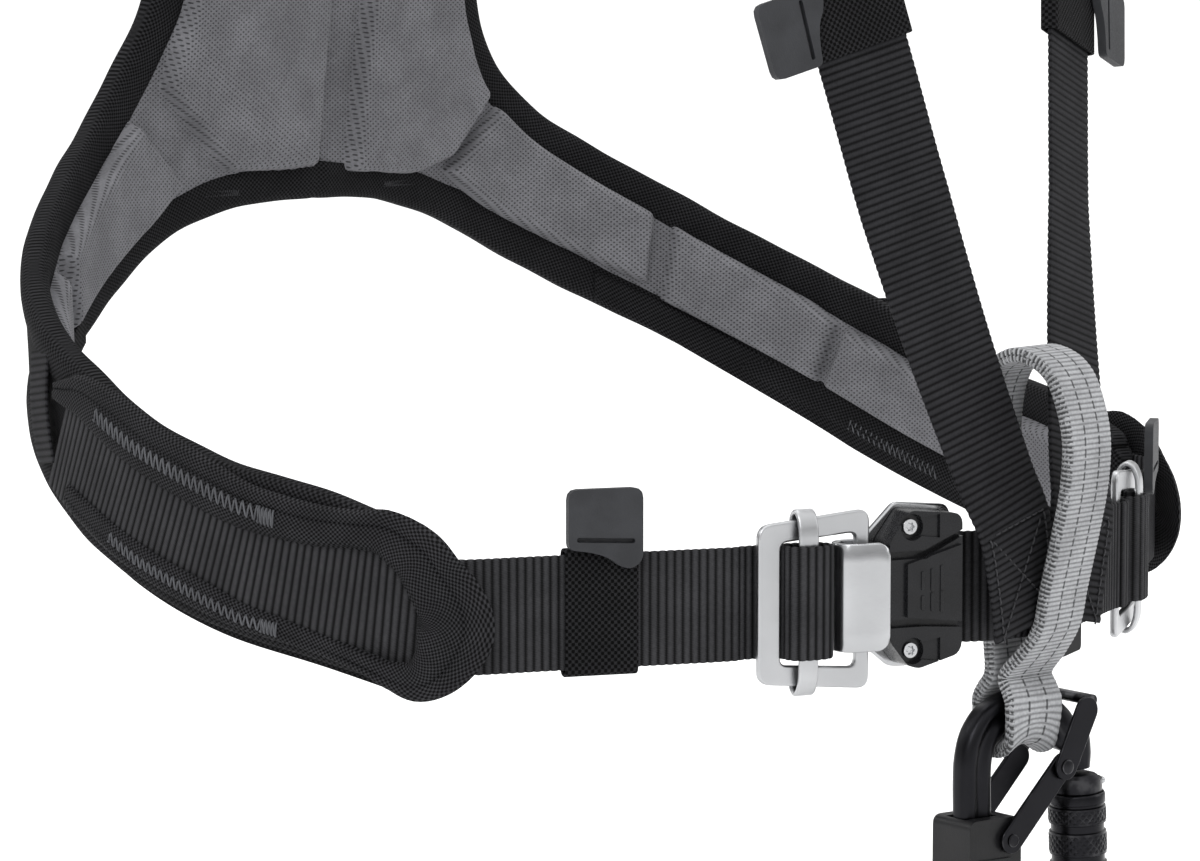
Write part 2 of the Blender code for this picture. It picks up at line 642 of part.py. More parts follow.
# ---- the carabiner --------------------------------------------------------------------------------
def carabiner_place():
    turn = Matrix.Rotation(math.radians(CARABINER_YAW), 4, "Z")
    return Matrix.Translation(Vector((0, CARABINER_Y, SWING_Z)) * MM) @ turn


def gate_place():
    """Local Z along the gate from its hinge, local X across it in the carabiner's plane."""
    lean = math.atan2(GATE_TOP[0] - GATE_HINGE[0], GATE_TOP[1] - GATE_HINGE[1])
    at = Matrix.Translation(Vector((GATE_HINGE[0], 0, GATE_HINGE[1])) * MM)
    return carabiner_place() @ at @ Matrix.Rotation(lean, 4, "Y")


def make_carabiner_frame():
    """One bar bent from the nose round the bow, down the spine and back to the gate's hinge."""
    path = [(32.0, 0.6), (31.2, 7.5), (28.6, 13.6)]
    path += [(BOW_R * math.cos(math.radians(a)), BOW_R * math.sin(math.radians(a)))
             for a in range(36, 153, 9)]
    path += [(-23.2, 2), (-23, -12), (-23, -32), (-23, -52), (-21, -63), (-15.5, -70.5), (-9, -74.5),
             (-4.5, -74.5), (4, -74.5), (8, -74.5), (14, -73.5), (20, -71.6), (20.6, -71.4),
             (27, -67.6), (33.5, -62.2), (36, -60)]
    path = np.array(path)
    along = unit(np.gradient(path, axis=0))
    bm = bmesh.new()
    rings = []
    for k, ((u, z), (tu, tz)) in enumerate(zip(path, along)):
        band = BAND if 1 < k < len(path) - 6 else 10.0
        depth = BODY_T if k < len(path) - 4 else 4.6
        if k < 2:
            band = 9.0 + 2.5 * k
        chamfer = min(2.4, depth * 0.3)
        corners = [(band / 2, depth / 2 - chamfer), (band / 2 - chamfer, depth / 2)]
        corners += [(-a, d) for a, d in reversed(corners)]
        corners += [(a, -d) for a, d in reversed(corners)]
        rings.append([bm.verts.new(((u - tz * a) * MM, -d * MM, (z + tu * a) * MM))
                      for a, d in corners])
    for first, second in zip(rings, rings[1:]):
        for i in range(8):
            bm.faces.new((first[i], first[(i + 1) % 8], second[(i + 1) % 8], second[i]))
    bm.faces.new(rings[0])
    bm.faces.new(rings[-1])
    bmesh.ops.recalc_face_normals(bm, faces=bm.faces)
    mesh = bpy.data.meshes.new("carabiner_frame")
    bm.to_mesh(mesh)
    bm.free()
    frame = add_object("carabiner_frame", mesh, "black_anodised")
    frame.matrix_world = carabiner_place()
    place = gate_place()
    hole = rod("frame_pin_hole", (0, -8, 0), (0, 8, 0), 2.1, None, place)
    combine(frame, hole, "DIFFERENCE")


def make_gate():
    place = gate_place()
    length = math.dist(GATE_HINGE, GATE_TOP)
    head = length - 9.2
    gate = turned("gate", [(0, length), (HEAD_R, length), (HEAD_R, head), (ROD_R, head),
                           (ROD_R, -5.5), (0, -5.5)], "black_anodised", place)
    slot = plate("gate_slot", [(-12, -12), (12, -12), (12, 8.5), (-12, 8.5)], -2.8, 2.8, None, place)
    combine(gate, slot, "DIFFERENCE")
    hole = rod("gate_pin_hole", (0, -9, 0), (0, 9, 0), 2.1, None, place)
    combine(gate, hole, "DIFFERENCE")
    socket = rod("rivet_socket", (7.6, -4, length - 4.6), (13, -7, length - 4.6), 1.9, None, place)
    combine(gate, socket, "DIFFERENCE")
    rod("gate_rivet", (7.9, -4.2, length - 4.6), (9.6, -5.1, length - 4.6), 1.5, "steel", place, 12)
    rod("gate_pin", (0, -5.2, 0), (0, 5.2, 0), 2.0, "steel", place)
    top = length - SLEEVE_TOP
    low = top - SLEEVE_LENGTH
    turned("locking_sleeve", [(SLEEVE_R, top), (SLEEVE_R, low), (9.0, low), (9.0, low + 16),
                              (6.7, low + 16), (6.7, head - SLEEVE_LIFT - GAP),
                              (HEAD_R + GAP, head - SLEEVE_LIFT - GAP), (HEAD_R + GAP, top)],
           "black_anodised", place, closed=True, sides=32)
    turned("sleeve_bush", [(8.7, low + 12), (8.7, low + 2), (6.25, low + 2), (6.25, low + 12)],
           "black_plastic", place, closed=True)


def make_positioning_bar():
    place = carabiner_place()
    shell = rounded_outline([(-33.5, -48), (-7, -48), (-7, -13), (-33.5, -13)], 3, steps=1)
    housing = plate("bar_housing", shell, -11.4, 11.4, "black_plastic", place, bevel=1.6)
    bore = plate("spine_bore", [(-31, -60), (-15.1, -60), (-15.1, 0), (-31, 0)], -6, 6, None, place)
    combine(housing, bore, "DIFFERENCE")
    foot_hole = rod("foot_hole", (ARM_FOOT[0], -20, ARM_FOOT[1]), (ARM_FOOT[0], 20, ARM_FOOT[1]),
                    1.5, None, place)
    combine(housing, foot_hole, "DIFFERENCE")

    arm = make_cheek("bar_arm", ARM_FOOT, ARM_ELBOW, 5.0, 4.6, ARM_D, ARM_T, place, 1)
    other = make_cheek("bar_arm_rear", ARM_FOOT, ARM_ELBOW, 5.0, 4.6, ARM_D, ARM_T, place, -1)
    combine(arm, other, "UNION")
    pin = rod("foot_pin", (ARM_FOOT[0], -13, ARM_FOOT[1]), (ARM_FOOT[0], 13, ARM_FOOT[1]), 1.1,
              None, place)
    combine(arm, pin, "UNION")
    for word, sign in (("front", -1), ("rear", 1)):
        hole = rod(f"elbow_hole_{word}", (ARM_ELBOW[0], 9 * sign, ARM_ELBOW[1]),
                   (ARM_ELBOW[0], 20 * sign, ARM_ELBOW[1]), 1.9, None, place)
        combine(arm, hole, "DIFFERENCE")

    clip = make_cheek("bar_clip", ARM_ELBOW, CLIP_END, 4.8, 5.0, CLIP_D, CLIP_T, place, 1)
    other = make_cheek("bar_clip_rear", ARM_ELBOW, CLIP_END, 4.8, 5.0, CLIP_D, CLIP_T, place, -1)
    combine(clip, other, "UNION")
    reach = 40.2 / math.hypot(*CLIP_END)
    end = (CLIP_END[0] * reach, CLIP_END[1] * reach)
    bridge = rod("clip_bridge", (end[0], -CLIP_D, end[1]), (end[0], CLIP_D, end[1]), 1.7, None, place)
    combine(clip, bridge, "UNION")
    for word, sign in (("front", -1), ("rear", 1)):
        stud = rod(f"clip_stud_{word}", (ARM_ELBOW[0], 12.4 * sign, ARM_ELBOW[1]),
                   (ARM_ELBOW[0], CLIP_D * sign, ARM_ELBOW[1]), 1.7, None, place)
        combine(clip, stud, "UNION")


def make_cheek(name, start, end, start_r, end_r, depth, thickness, place, front):
    """A flat link with round ends, in front of the carabiner's plane or behind it."""
    lean = math.atan2(end[1] - start[1], end[0] - start[0])
    outline = []
    for (u, z), r, first in ((start, start_r, 90), (end, end_r, -90)):
        for a in range(0, 181, 30):
            angle = lean + math.radians(first + a)
            outline.append((u + r * math.cos(angle), z + r * math.sin(angle)))
    low, high = depth - thickness / 2, depth + thickness / 2
    if front < 0:
        low, high = -high, -low
    return plate(name, outline, low, high, "black_anodised", place)


# ---- build ------------------------------------------------------------------------------------------
make_yoke()
make_bindings()
make_arches()
for hand, title in ((1, "left"), (-1, "right")):
    make_chest_strap(hand, title)
    make_frame(f"chest_frame_{title}", chest_place(hand))
    make_slider(f"chest_slider_{title}", chest_place(hand))
    make_shoulder_strap(hand, title, 2.8 if hand > 0 else 5.2)
    shoulder = shoulder_place(hand, SHOULDER_ADJUSTER)
    make_frame(f"shoulder_frame_{title}", shoulder)
    make_slider(f"shoulder_slider_{title}", shoulder)
    start, end = free_run(hand)
    spot = start + (end - start) * KEEPER_AT[hand]
    make_keeper(f"chest_keeper_{title}", place_at(spot, end - start, (0, 0, -hand)), -hand)
    run_height = 243.5
    spot = (71.0, shoulder_depth(run_height), run_height)
    make_keeper(f"shoulder_keeper_{title}", shoulder_place(hand, spot), -hand)
make_buckle(chest_place(-1))
make_sternal_strap()
make_tie_in_loop()
make_tag()
make_carabiner_frame()
make_gate()
make_positioning_bar()
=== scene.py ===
"""Looks for the chest harness: webbing, padded yoke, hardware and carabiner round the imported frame.

Lengths are in millimetres and become metres when a mesh is made.  The wearer faces -Y, +Z is up, and
the wearer's left is +X.  The curves that the CAD also uses are repeated here.
"""
import math

import bmesh
import bpy
import numpy as np
from mathutils import Matrix, Vector


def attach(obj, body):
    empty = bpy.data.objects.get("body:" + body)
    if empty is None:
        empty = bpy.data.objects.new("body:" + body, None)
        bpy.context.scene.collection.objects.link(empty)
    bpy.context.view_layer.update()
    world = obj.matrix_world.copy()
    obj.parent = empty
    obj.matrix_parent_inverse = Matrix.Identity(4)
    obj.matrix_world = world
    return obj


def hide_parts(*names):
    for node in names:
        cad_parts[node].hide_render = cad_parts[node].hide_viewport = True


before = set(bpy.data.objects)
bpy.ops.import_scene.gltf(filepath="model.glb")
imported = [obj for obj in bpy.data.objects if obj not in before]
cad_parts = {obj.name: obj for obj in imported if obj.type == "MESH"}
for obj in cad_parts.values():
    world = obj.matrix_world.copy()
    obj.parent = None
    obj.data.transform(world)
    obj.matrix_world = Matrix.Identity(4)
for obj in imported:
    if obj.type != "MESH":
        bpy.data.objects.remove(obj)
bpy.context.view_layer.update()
MM = 0.001

# ---- camera, light and floor --------------------------------------------------------------------
AZIMUTH, ELEVATION = math.radians(-48.8), math.radians(6.1)
TARGET, DISTANCE, LENS = Vector((0, 0, 0.063)), 2.0, 141.0
FLOOR_Z = -0.150


def aim(thing, place, target):
    thing.location = place
    thing.rotation_euler = (Vector(target) - Vector(place)).to_track_quat("-Z", "Y").to_euler()


def make_stage():
    """Camera, a sky that brightens upward, four soft lamps and a pale floor."""
    back = Vector((math.sin(AZIMUTH) * math.cos(ELEVATION), -math.cos(AZIMUTH) * math.cos(ELEVATION),
                   math.sin(ELEVATION)))
    camera = bpy.data.objects.new("camera", bpy.data.cameras.new("camera"))
    bpy.context.scene.collection.objects.link(camera)
    camera.data.lens = LENS
    camera.data.sensor_width = 36.0
    camera.data.clip_end = 200.0
    aim(camera, TARGET + back * DISTANCE, TARGET)
    bpy.context.scene.camera = camera
    bpy.context.scene.view_settings.view_transform = "Standard"

    world = bpy.data.worlds.new("studio")
    bpy.context.scene.world = world
    world.use_nodes = True
    nodes, links = world.node_tree.nodes, world.node_tree.links
    nodes["Background"].inputs["Color"].default_value = (1.0, 1.0, 1.0, 1.0)
    split = nodes.new("ShaderNodeSeparateXYZ")
    links.new(nodes.new("ShaderNodeTexCoord").outputs["Generated"], split.inputs[0])
    height = nodes.new("ShaderNodeMapRange")
    height.interpolation_type = "SMOOTHSTEP"
    for socket, value in (("From Min", 0.05), ("From Max", 0.7), ("To Min", 0.50), ("To Max", 1.45)):
        height.inputs[socket].default_value = value
    links.new(split.outputs[2], height.inputs["Value"])
    links.new(height.outputs[0], nodes["Background"].inputs["Strength"])

    bpy.ops.mesh.primitive_plane_add(size=120.0, location=(0, 0, FLOOR_Z))
    floor = bpy.context.object
    floor.name = "floor"
    paint = bpy.data.materials.new("floor")
    paint.use_nodes = True
    shader = paint.node_tree.nodes["Principled BSDF"]
    shader.inputs["Base Color"].default_value = (0.94, 0.94, 0.94, 1.0)
    shader.inputs["Roughness"].default_value = 1.0
    shader.inputs["Specular IOR Level"].default_value = 0.0
    floor.data.materials.append(paint)

    lights = [("key", (-2.1, -0.9, 1.5), 1.1, 19.0), ("side", (1.7, -1.6, 0.8), 1.2, 8.0),
              ("top", (0.3, 0.4, 2.3), 1.6, 17.0), ("rear", (-0.8, 1.9, 1.0), 1.0, 6.0)]
    for name, place, size, power in lights:
        lamp = bpy.data.objects.new(name, bpy.data.lights.new(name, "AREA"))
        lamp.data.shape = "DISK"
        lamp.data.size = size
        lamp.data.energy = power
        bpy.context.scene.collection.objects.link(lamp)
        aim(lamp, place, (0, -0.05, 0.08))


make_stage()


# ---- materials ------------------------------------------------------------------------------------
class Nodes:
    """Builds one material's node tree with short calls."""

    def __init__(self, name):
        self.material = bpy.data.materials.new(name)
        self.material.use_nodes = True
        self.tree = self.material.node_tree
        self.shader = self.tree.nodes["Principled BSDF"]

    def put(self, socket, value):
        if isinstance(value, bpy.types.NodeSocket):
            self.tree.links.new(value, socket)
        else:
            socket.default_value = value

    def math(self, operation, *values):
        node = self.tree.nodes.new("ShaderNodeMath")
        node.operation = operation
        for k, value in enumerate(values):
            self.put(node.inputs[k], value)
        return node.outputs[0]

    def weave(self):
        """Run along the piece and place across it, in millimetres."""
        uv = self.tree.nodes.new("ShaderNodeUVMap")
        uv.uv_map = "weave"
        split = self.tree.nodes.new("ShaderNodeSeparateXYZ")
        self.put(split.inputs[0], uv.outputs[0])
        return split.outputs[0], split.outputs[1]

    def wave(self, along, pitch):
        """A sine wave along a coordinate, with a pitch in millimetres."""
        return self.math("SINE", self.math("MULTIPLY", along, 2 * math.pi / pitch))

    def ramp(self, value, low, high, start=0.0, end=1.0):
        """Goes smoothly from start to end while the value goes from low to high."""
        node = self.tree.nodes.new("ShaderNodeMapRange")
        node.interpolation_type = "SMOOTHSTEP"
        for k, item in enumerate((value, low, high, start, end)):
            self.put(node.inputs[k], item)
        return node.outputs[0]

    def noise(self, scale, detail=3.0, stretch=None):
        coordinates = self.tree.nodes.new("ShaderNodeTexCoord").outputs["Object"]
        if stretch:
            node = self.tree.nodes.new("ShaderNodeMapping")
            self.put(node.inputs["Vector"], coordinates)
            node.inputs["Scale"].default_value = stretch
            coordinates = node.outputs[0]
        node = self.tree.nodes.new("ShaderNodeTexNoise")
        self.put(node.inputs["Vector"], coordinates)
        node.inputs["Scale"].default_value = scale
        node.inputs["Detail"].default_value = detail
        return node.outputs["Fac"]

    def blend(self, factor, first, second):
        node = self.tree.nodes.new("ShaderNodeMix")
        node.data_type = "RGBA"
        self.put(node.inputs["Factor"], factor)
        for socket, value in ((node.inputs["A"], first), (node.inputs["B"], second)):
            colour = value if isinstance(value, bpy.types.NodeSocket) else (*value, 1.0)
            self.put([s for s in node.inputs if s.name == socket.name and s.type == "RGBA"][0], colour)
        return [s for s in node.outputs if s.type == "RGBA"][0]

    def bump(self, height, distance, strength=1.0):
        node = self.tree.nodes.new("ShaderNodeBump")
        node.inputs["Strength"].default_value = strength
        node.inputs["Distance"].default_value = distance * MM
        self.put(node.inputs["Height"], height)
        self.put(self.shader.inputs["Normal"], node.outputs[0])

    def finish(self, colour, roughness, metallic=0.0, sheen=0.0, specular=0.5):
        self.put(self.shader.inputs["Base Color"],
                 colour if isinstance(colour, bpy.types.NodeSocket) else (*colour, 1.0))
        self.put(self.shader.inputs["Roughness"], roughness)
        self.shader.inputs["Metallic"].default_value = metallic
        self.shader.inputs["Sheen Weight"].default_value = sheen
        self.shader.inputs["Sheen Roughness"].default_value = 0.5
        self.shader.inputs["Specular IOR Level"].default_value = specular
        return self.material


def tint(colour, factor):
    return tuple(c * factor for c in colour)


def cloth(name, colour, pattern, pitch, relief, contrast=0.45, roughness=0.85, sheen=0.0, lines=(),
          speckle=None):
    """Cloth in a basket, rib, knit or mesh weave, at a pitch (along, across) in millimetres.

    lines are sewn rows as (place, width, stitch length), and speckle is where a dotted edge begins.
    """
    n = Nodes(name)
    u, v = n.weave()
    pu, pv = pitch
    if pattern == "basket":
        height = n.math("MULTIPLY", n.wave(u, pu), n.wave(v, pv))
        height = n.math("ADD", height, n.math("MULTIPLY", n.wave(n.math("ADD", u, v), pu * 0.23), 0.15))
        height = n.ramp(height, -0.9, 0.9)
    elif pattern == "rib":
        rib = n.math("ABSOLUTE", n.wave(u, pu * 2))
        thread = n.wave(n.math("MULTIPLY_ADD", u, 0.35, v), pv)
        height = n.math("MULTIPLY_ADD", thread, 0.12, n.math("POWER", rib, 1.2))
    elif pattern == "knit":
        first = n.wave(n.math("ADD", u, v), pu)
        second = n.wave(n.math("SUBTRACT", u, v), pv)
        height = n.ramp(n.math("ADD", first, second), -1.2, 1.0)
    else:
        eyelet = n.math("MULTIPLY", n.wave(u, pu), n.wave(v, pv))
        height = n.ramp(eyelet, 0.25, 0.8, 1.0, 0.0)
    worn = n.ramp(n.noise(55.0, 4.0), 0.3, 0.75, 0.86, 1.12)
    fine = n.ramp(n.noise(900.0, 2.0), 0.3, 0.7, 0.9, 1.1)
    shade = n.math("MULTIPLY", worn, fine)
    # the colour follows the weave's height: darker in its low places, painted shade in the grooves, and a
    # little lighter on its crests, a painted highlight; times the random tone
    level = n.math("MULTIPLY", n.ramp(height, 0.0, 1.0, 1.0 - contrast, 1.0 + 0.3 * contrast), shade)
    for place, width, dash in lines:
        near = n.ramp(n.math("ABSOLUTE", n.math("SUBTRACT", n.math("ABSOLUTE", v), place)),
                      width * 0.5, width, 1.0, 0.0)
        dashed = n.math("MULTIPLY", near, n.ramp(n.wave(u, dash), -0.85, -0.5))
        level = n.math("MULTIPLY", level, n.math("MULTIPLY_ADD", dashed, -0.72, 1.0))
    if speckle:
        rim = n.ramp(n.math("ABSOLUTE", v), speckle - 0.5, speckle, 0.0, 1.0)
        dots = n.math("MULTIPLY", n.ramp(n.wave(u, pu), -0.4, 0.5), n.ramp(n.noise(700.0, 1.0), 0.36, 0.5))
        level = n.math("MULTIPLY", level, n.math("MULTIPLY_ADD", n.math("MULTIPLY", rim, dots), -0.8, 1.0))
    mixed = n.blend(n.math("MULTIPLY", level, 0.5), (0, 0, 0), tint(colour, 2.0))
    n.bump(height, relief)
    return n.finish(mixed, roughness, sheen=sheen, specular=0.06)


def metal(name, colour, roughness, brushed=(1, 1, 1), worn=None):
    """Brushed or anodised metal; worn is the lighter colour on its sharp edges, partly wear and partly a
    painted highlight.
    """
    n = Nodes(name)
    streaks = n.noise(420.0, 3.0, brushed)
    rough = n.ramp(streaks, 0.25, 0.75, roughness - 0.03, roughness + 0.03)
    shade = n.ramp(n.noise(30.0, 2.0), 0.3, 0.7, 0.93, 1.05)
    mixed = n.blend(n.math("MULTIPLY", shade, 0.5), (0, 0, 0), tint(colour, 2.0))
    if worn:
        # lighter in patches along sharp edges: partly worn metal, partly a painted edge highlight
        edge = n.tree.nodes.new("ShaderNodeNewGeometry").outputs["Pointiness"]
        wear_and_highlight = n.math("MULTIPLY", n.ramp(edge, 0.53, 0.62), n.ramp(n.noise(160.0, 4.0), 0.42, 0.7))
        mixed = n.blend(n.math("MULTIPLY", wear_and_highlight, 0.55), mixed, worn)
    n.bump(streaks, 0.006, 0.3)
    return n.finish(mixed, rough, metallic=1.0)


def moulded(name, colour, roughness):
    """Plastic, rubber or thread with a fine grain."""
    n = Nodes(name)
    grain = n.noise(1400.0, 3.0)
    shade = n.ramp(n.noise(70.0, 3.0), 0.3, 0.7, 0.85, 1.15)
    mixed = n.blend(n.math("MULTIPLY", shade, 0.5), (0, 0, 0), tint(colour, 2.0))
    n.bump(grain, 0.05)
    return n.finish(mixed, n.ramp(grain, 0.3, 0.7, roughness - 0.06, roughness + 0.08), specular=0.22)


MAT = {
    "binding": cloth("binding_weave", (0.0175, 0.0175, 0.0190), "basket", (2.3, 2.0), 0.34, 0.9),
    "shell": cloth("shell_weave", (0.014, 0.014, 0.015), "basket", (1.6, 1.4), 0.22, 0.7),
    "mesh": cloth("lining_mesh", (0.122, 0.122, 0.131), "mesh", (3.1, 2.1), 0.22, 0.62, 0.9, 0.05),
    "webbing": cloth("chest_webbing", (0.0270, 0.0270, 0.0290), "rib", (3.3, 0.9), 0.28, 0.85, 0.7),
    "shoulder": cloth("shoulder_webbing", (0.0180, 0.0180, 0.0198), "rib", (2.8, 0.8), 0.20, 0.78, 0.75),
    "arch": cloth("arch_weave", (0.0235, 0.0235, 0.0255), "basket", (2.0, 1.7), 0.36, 0.92, 0.75),
    "elastic": cloth("elastic_knit", (0.0125, 0.0125, 0.0135), "knit", (2.6, 2.6), 0.5, 0.95, 0.75),
    "grey": cloth("grey_webbing", (0.300, 0.305, 0.315), "rib", (1.9, 0.8), 0.2, 0.45, 0.75, 0.05,
                  lines=((4.6, 0.7, 4.4),), speckle=12.9),
    "thread": moulded("sewing_thread", (0.075, 0.077, 0.084), 0.6),
    "black_thread": moulded("black_thread", (0.030, 0.030, 0.033), 0.6),
    "satin": metal("satin_aluminium", (0.43, 0.435, 0.445), 0.34, (1, 1, 12)),
    "steel": metal("polished_steel", (0.41, 0.415, 0.425), 0.24, (1, 1, 8)),
    # the anodised metal's lighter edge colour is partly wear, partly a painted edge highlight
    "anodised": metal("black_anodised", (0.016, 0.016, 0.018), 0.33, worn=(0.25, 0.25, 0.26)),
    "cover": moulded("grey_plastic", (0.0085, 0.0087, 0.0098), 0.24),
    "plastic": moulded("black_plastic", (0.007, 0.007, 0.0078), 0.36),
    "rubber": moulded("matt_rubber", (0.026, 0.027, 0.030), 0.55),
    "label": cloth("label_tape", (0.015, 0.015, 0.016), "basket", (0.9, 0.9), 0.08, 0.3, 0.6),
}


def unit(vectors):
    vectors = np.asarray(vectors, float)
    return vectors / np.maximum(np.linalg.norm(vectors, axis=-1, keepdims=True), 1e-9)


def smooth_curve(points, steps, closed=False):
    """A Catmull-Rom curve through the points, with so many steps between each two."""
    p = np.asarray(points, float)
    if closed:
        padded = np.vstack([p[-1], p, p[0], p[1]])
    else:
        padded = np.vstack([2 * p[0] - p[1], p, 2 * p[-1] - p[-2]])
    out = []
    for k in range(len(padded) - 3):
        a, b, c, d = padded[k:k + 4]
        for i in range(steps):
            t = i / steps
            out.append(0.5 * (2 * b + (c - a) * t + (2 * a - 5 * b + 4 * c - d) * t ** 2
                              + (3 * b - a - 3 * c + d) * t ** 3))
    if not closed:
        out.append(p[-1])
    return np.array(out)


def run_along(path):
    return np.r_[0, np.cumsum(np.linalg.norm(np.diff(path, axis=0), axis=1))]


def resample(path, spacing, *others):
    """The path, and what goes with it, at even steps of about this spacing."""
    run = run_along(path)
    at = np.linspace(0, run[-1], max(int(run[-1] / spacing), 2) + 1)
    return [np.column_stack([np.interp(at, run, item[:, k]) for k in range(item.shape[1])])
            for item in (path, *others)]


def mesh_object(name, points, faces, uvs, material, sharp=40):
    mesh = bpy.data.meshes.new(name)
    mesh.from_pydata((np.asarray(points) * MM).tolist(), [], faces)
    layer = mesh.uv_layers.new(name="weave")
    layer.data.foreach_set("uv", np.asarray(uvs, "f").ravel())
    mesh.shade_smooth()
    if sharp:
        mesh.set_sharp_from_angle(angle=math.radians(sharp))
    mesh.materials.append(MAT[material])
    thing = bpy.data.objects.new(name, mesh)
    bpy.context.scene.collection.objects.link(thing)
    return thing


def face_outward(mesh, merge=0.0):
    """Turns a mesh's faces outward, after joining points closer than a distance."""
    bm = bmesh.new()
    bm.from_mesh(mesh)
    if merge:
        bmesh.ops.remove_doubles(bm, verts=bm.verts, dist=merge)
    bmesh.ops.recalc_face_normals(bm, faces=bm.faces)
    bm.to_mesh(mesh)
    bm.free()


def scaled(section, wide, high):
    """A section for each station, from one section and its scales across and outward."""
    return section[None] * np.stack([wide, high], axis=1)[:, None]


def sweep(name, path, across, out, profile, material, closed=False, sharp=40):
    """A closed section carried along a path.  profile is (a, b) pairs, or one array per station."""
    path, across, out = (np.asarray(x, float) for x in (path, across, out))
    sections = np.asarray(profile, float)
    if sections.ndim == 2:
        sections = np.repeat(sections[None], len(path), axis=0)
    count, size = sections.shape[:2]
    points = (path[:, None] + across[:, None] * sections[:, :, :1] + out[:, None] * sections[:, :, 1:])
    looped = np.vstack([path, path[:1]]) if closed else path
    run = run_along(looped)
    faces, uvs = [], []
    for i in range(count if closed else count - 1):
        following = (i + 1) % count
        for j in range(size):
            k = (j + 1) % size
            faces.append((i * size + j, i * size + k, following * size + k, following * size + j))
            uvs += [(run[i], sections[i, j, 0]), (run[i], sections[i, k, 0]),
                    (run[i + 1], sections[following, k, 0]), (run[i + 1], sections[following, j, 0])]
    if not closed:
        for i in (0, count - 1):
            ring = list(range(i * size, (i + 1) * size))
            faces.append(ring[::-1] if i == 0 else ring)
            uvs += [(run[i] + sections[i, j % size, 1], sections[i, j % size, 0])
                    for j in (range(size - 1, -1, -1) if i == 0 else range(size))]
    thing = mesh_object(name, points.reshape(-1, 3), faces, uvs, material, sharp)
    face_outward(thing.data)
    return thing


def flat_section(width, thickness, edge=None, parts=6):
    """A strap's section: flat faces and rounded edges, as closed (a, b) pairs."""
    r = edge or thickness / 2
    top = [(a, thickness / 2) for a in np.linspace(-width / 2 + r, width / 2 - r, parts + 1)]
    turn = [(width / 2 - r + r * math.sin(t), thickness / 2 * math.cos(t))
            for t in np.radians((30, 60, 90, 120, 150))]
    half = top + turn
    return np.array(half + [(-a, -b) for a, b in half])


RIB_DEPTH = 0.3             # how much thinner webbing is between its ribs


def around_loop(path):
    """Directions along a closed path."""
    return unit(np.roll(path, -1, 0) - np.roll(path, 1, 0))


def webbing(name, path, across, width, thickness, pitch, material):
    """Ribbed webbing: the ribs cross it, and its thickness and edge swell at each one."""
    path, across = resample(np.asarray(path), pitch / 4, np.asarray(across))
    along = unit(np.gradient(path, axis=0))
    across = unit(across - along * (across * along).sum(1)[:, None])
    out = np.cross(along, across)
    rib = np.abs(np.sin(math.pi * np.r_[0, np.cumsum(np.full(len(path) - 1, pitch / 4))] / pitch)) ** 0.9
    sections = scaled(flat_section(width, thickness), 1 - 0.5 / width + 0.5 / width * rib,
                      1 - RIB_DEPTH + RIB_DEPTH * rib)
    return sweep(name, path, across, out, sections, material, sharp=50)


def bake(thing):
    """Applies a piece's modifiers."""
    bpy.context.view_layer.update()
    evaluated = thing.evaluated_get(bpy.context.evaluated_depsgraph_get())
    mesh = bpy.data.meshes.new_from_object(evaluated)
    old = thing.data
    thing.modifiers.clear()
    thing.data = mesh
    bpy.data.meshes.remove(old)
    return thing


def rounded(corners, radius, steps=6):
    """A polygon with arcs at its corners.  radius is one number, or one for each corner."""
    out, count = [], len(corners)
    for k in range(count):
        before, here, after = (Vector(corners[(k + i) % count]) for i in (-1, 0, 1))
        wanted = radius if isinstance(radius, (int, float)) else radius[k]
        r = min(wanted, (before - here).length * 0.48, (after - here).length * 0.48)
        first, last = (here + (p - here).normalized() * r for p in (before, after))
        for i in range(steps + 1):
            t = i / steps
            out.append(tuple(first * (1 - t) ** 2 + here * 2 * t * (1 - t) + last * t ** 2))
    return out


def solid_plate(outline, low, high, place):
    """A flat piece in the local X-Z plane from depth low to high along local -Y, as a bmesh."""
    bm = bmesh.new()
    face = bm.faces.new([bm.verts.new((x * MM, -low * MM, z * MM)) for x, z in outline])
    made = bmesh.ops.extrude_face_region(bm, geom=[face])
    moved = [v for v in made["geom"] if isinstance(v, bmesh.types.BMVert)]
    bmesh.ops.translate(bm, verts=moved, vec=(0, -(high - low) * MM, 0))
    bmesh.ops.recalc_face_normals(bm, faces=bm.faces)
    bm.transform(place)
    return bm


def from_bmesh(name, bm, material):
    mesh = bpy.data.meshes.new(name)
    bm.to_mesh(mesh)
    bm.free()
    thing = bpy.data.objects.new(name, mesh)
    bpy.context.scene.collection.objects.link(thing)
    mesh.materials.append(MAT[material])
    return thing


def add_booleans(thing, operation, items, material):
    """Joins bmeshes to a piece, or cuts them out of it, once it is baked; gives the tools to remove."""
    tools = [from_bmesh("tool", item, material) for item in items]
    for tool in tools:
        boolean = thing.modifiers.new("boolean", "BOOLEAN")
        boolean.operation = operation
        boolean.object = tool
        boolean.solver = "EXACT"
    return tools


def remove(things):
    for thing in things:
        bpy.data.objects.remove(thing)


def plate(name, outline, low, high, material, place, bevel=0.6, cuts=(), joins=()):
    """A plate with cut-outs and joined pieces, each a bmesh, and then rounded edges."""
    thing = from_bmesh(name, solid_plate(outline, low, high, place), material)
    tools = add_booleans(thing, "UNION", joins, material)
    tools += add_booleans(thing, "DIFFERENCE", cuts, material)
    if bevel:
        edge = thing.modifiers.new("edges", "BEVEL")
        edge.width = bevel * MM
        edge.segments = 3
        edge.limit_method = "ANGLE"
        edge.angle_limit = math.radians(35)
        edge.harden_normals = False
    bake(thing)
    remove(tools)
    thing.data.shade_smooth()
    thing.data.set_sharp_from_angle(angle=math.radians(38))
    even = thing.modifiers.new("normals", "WEIGHTED_NORMAL")
    even.keep_sharp = True
    return bake(thing)


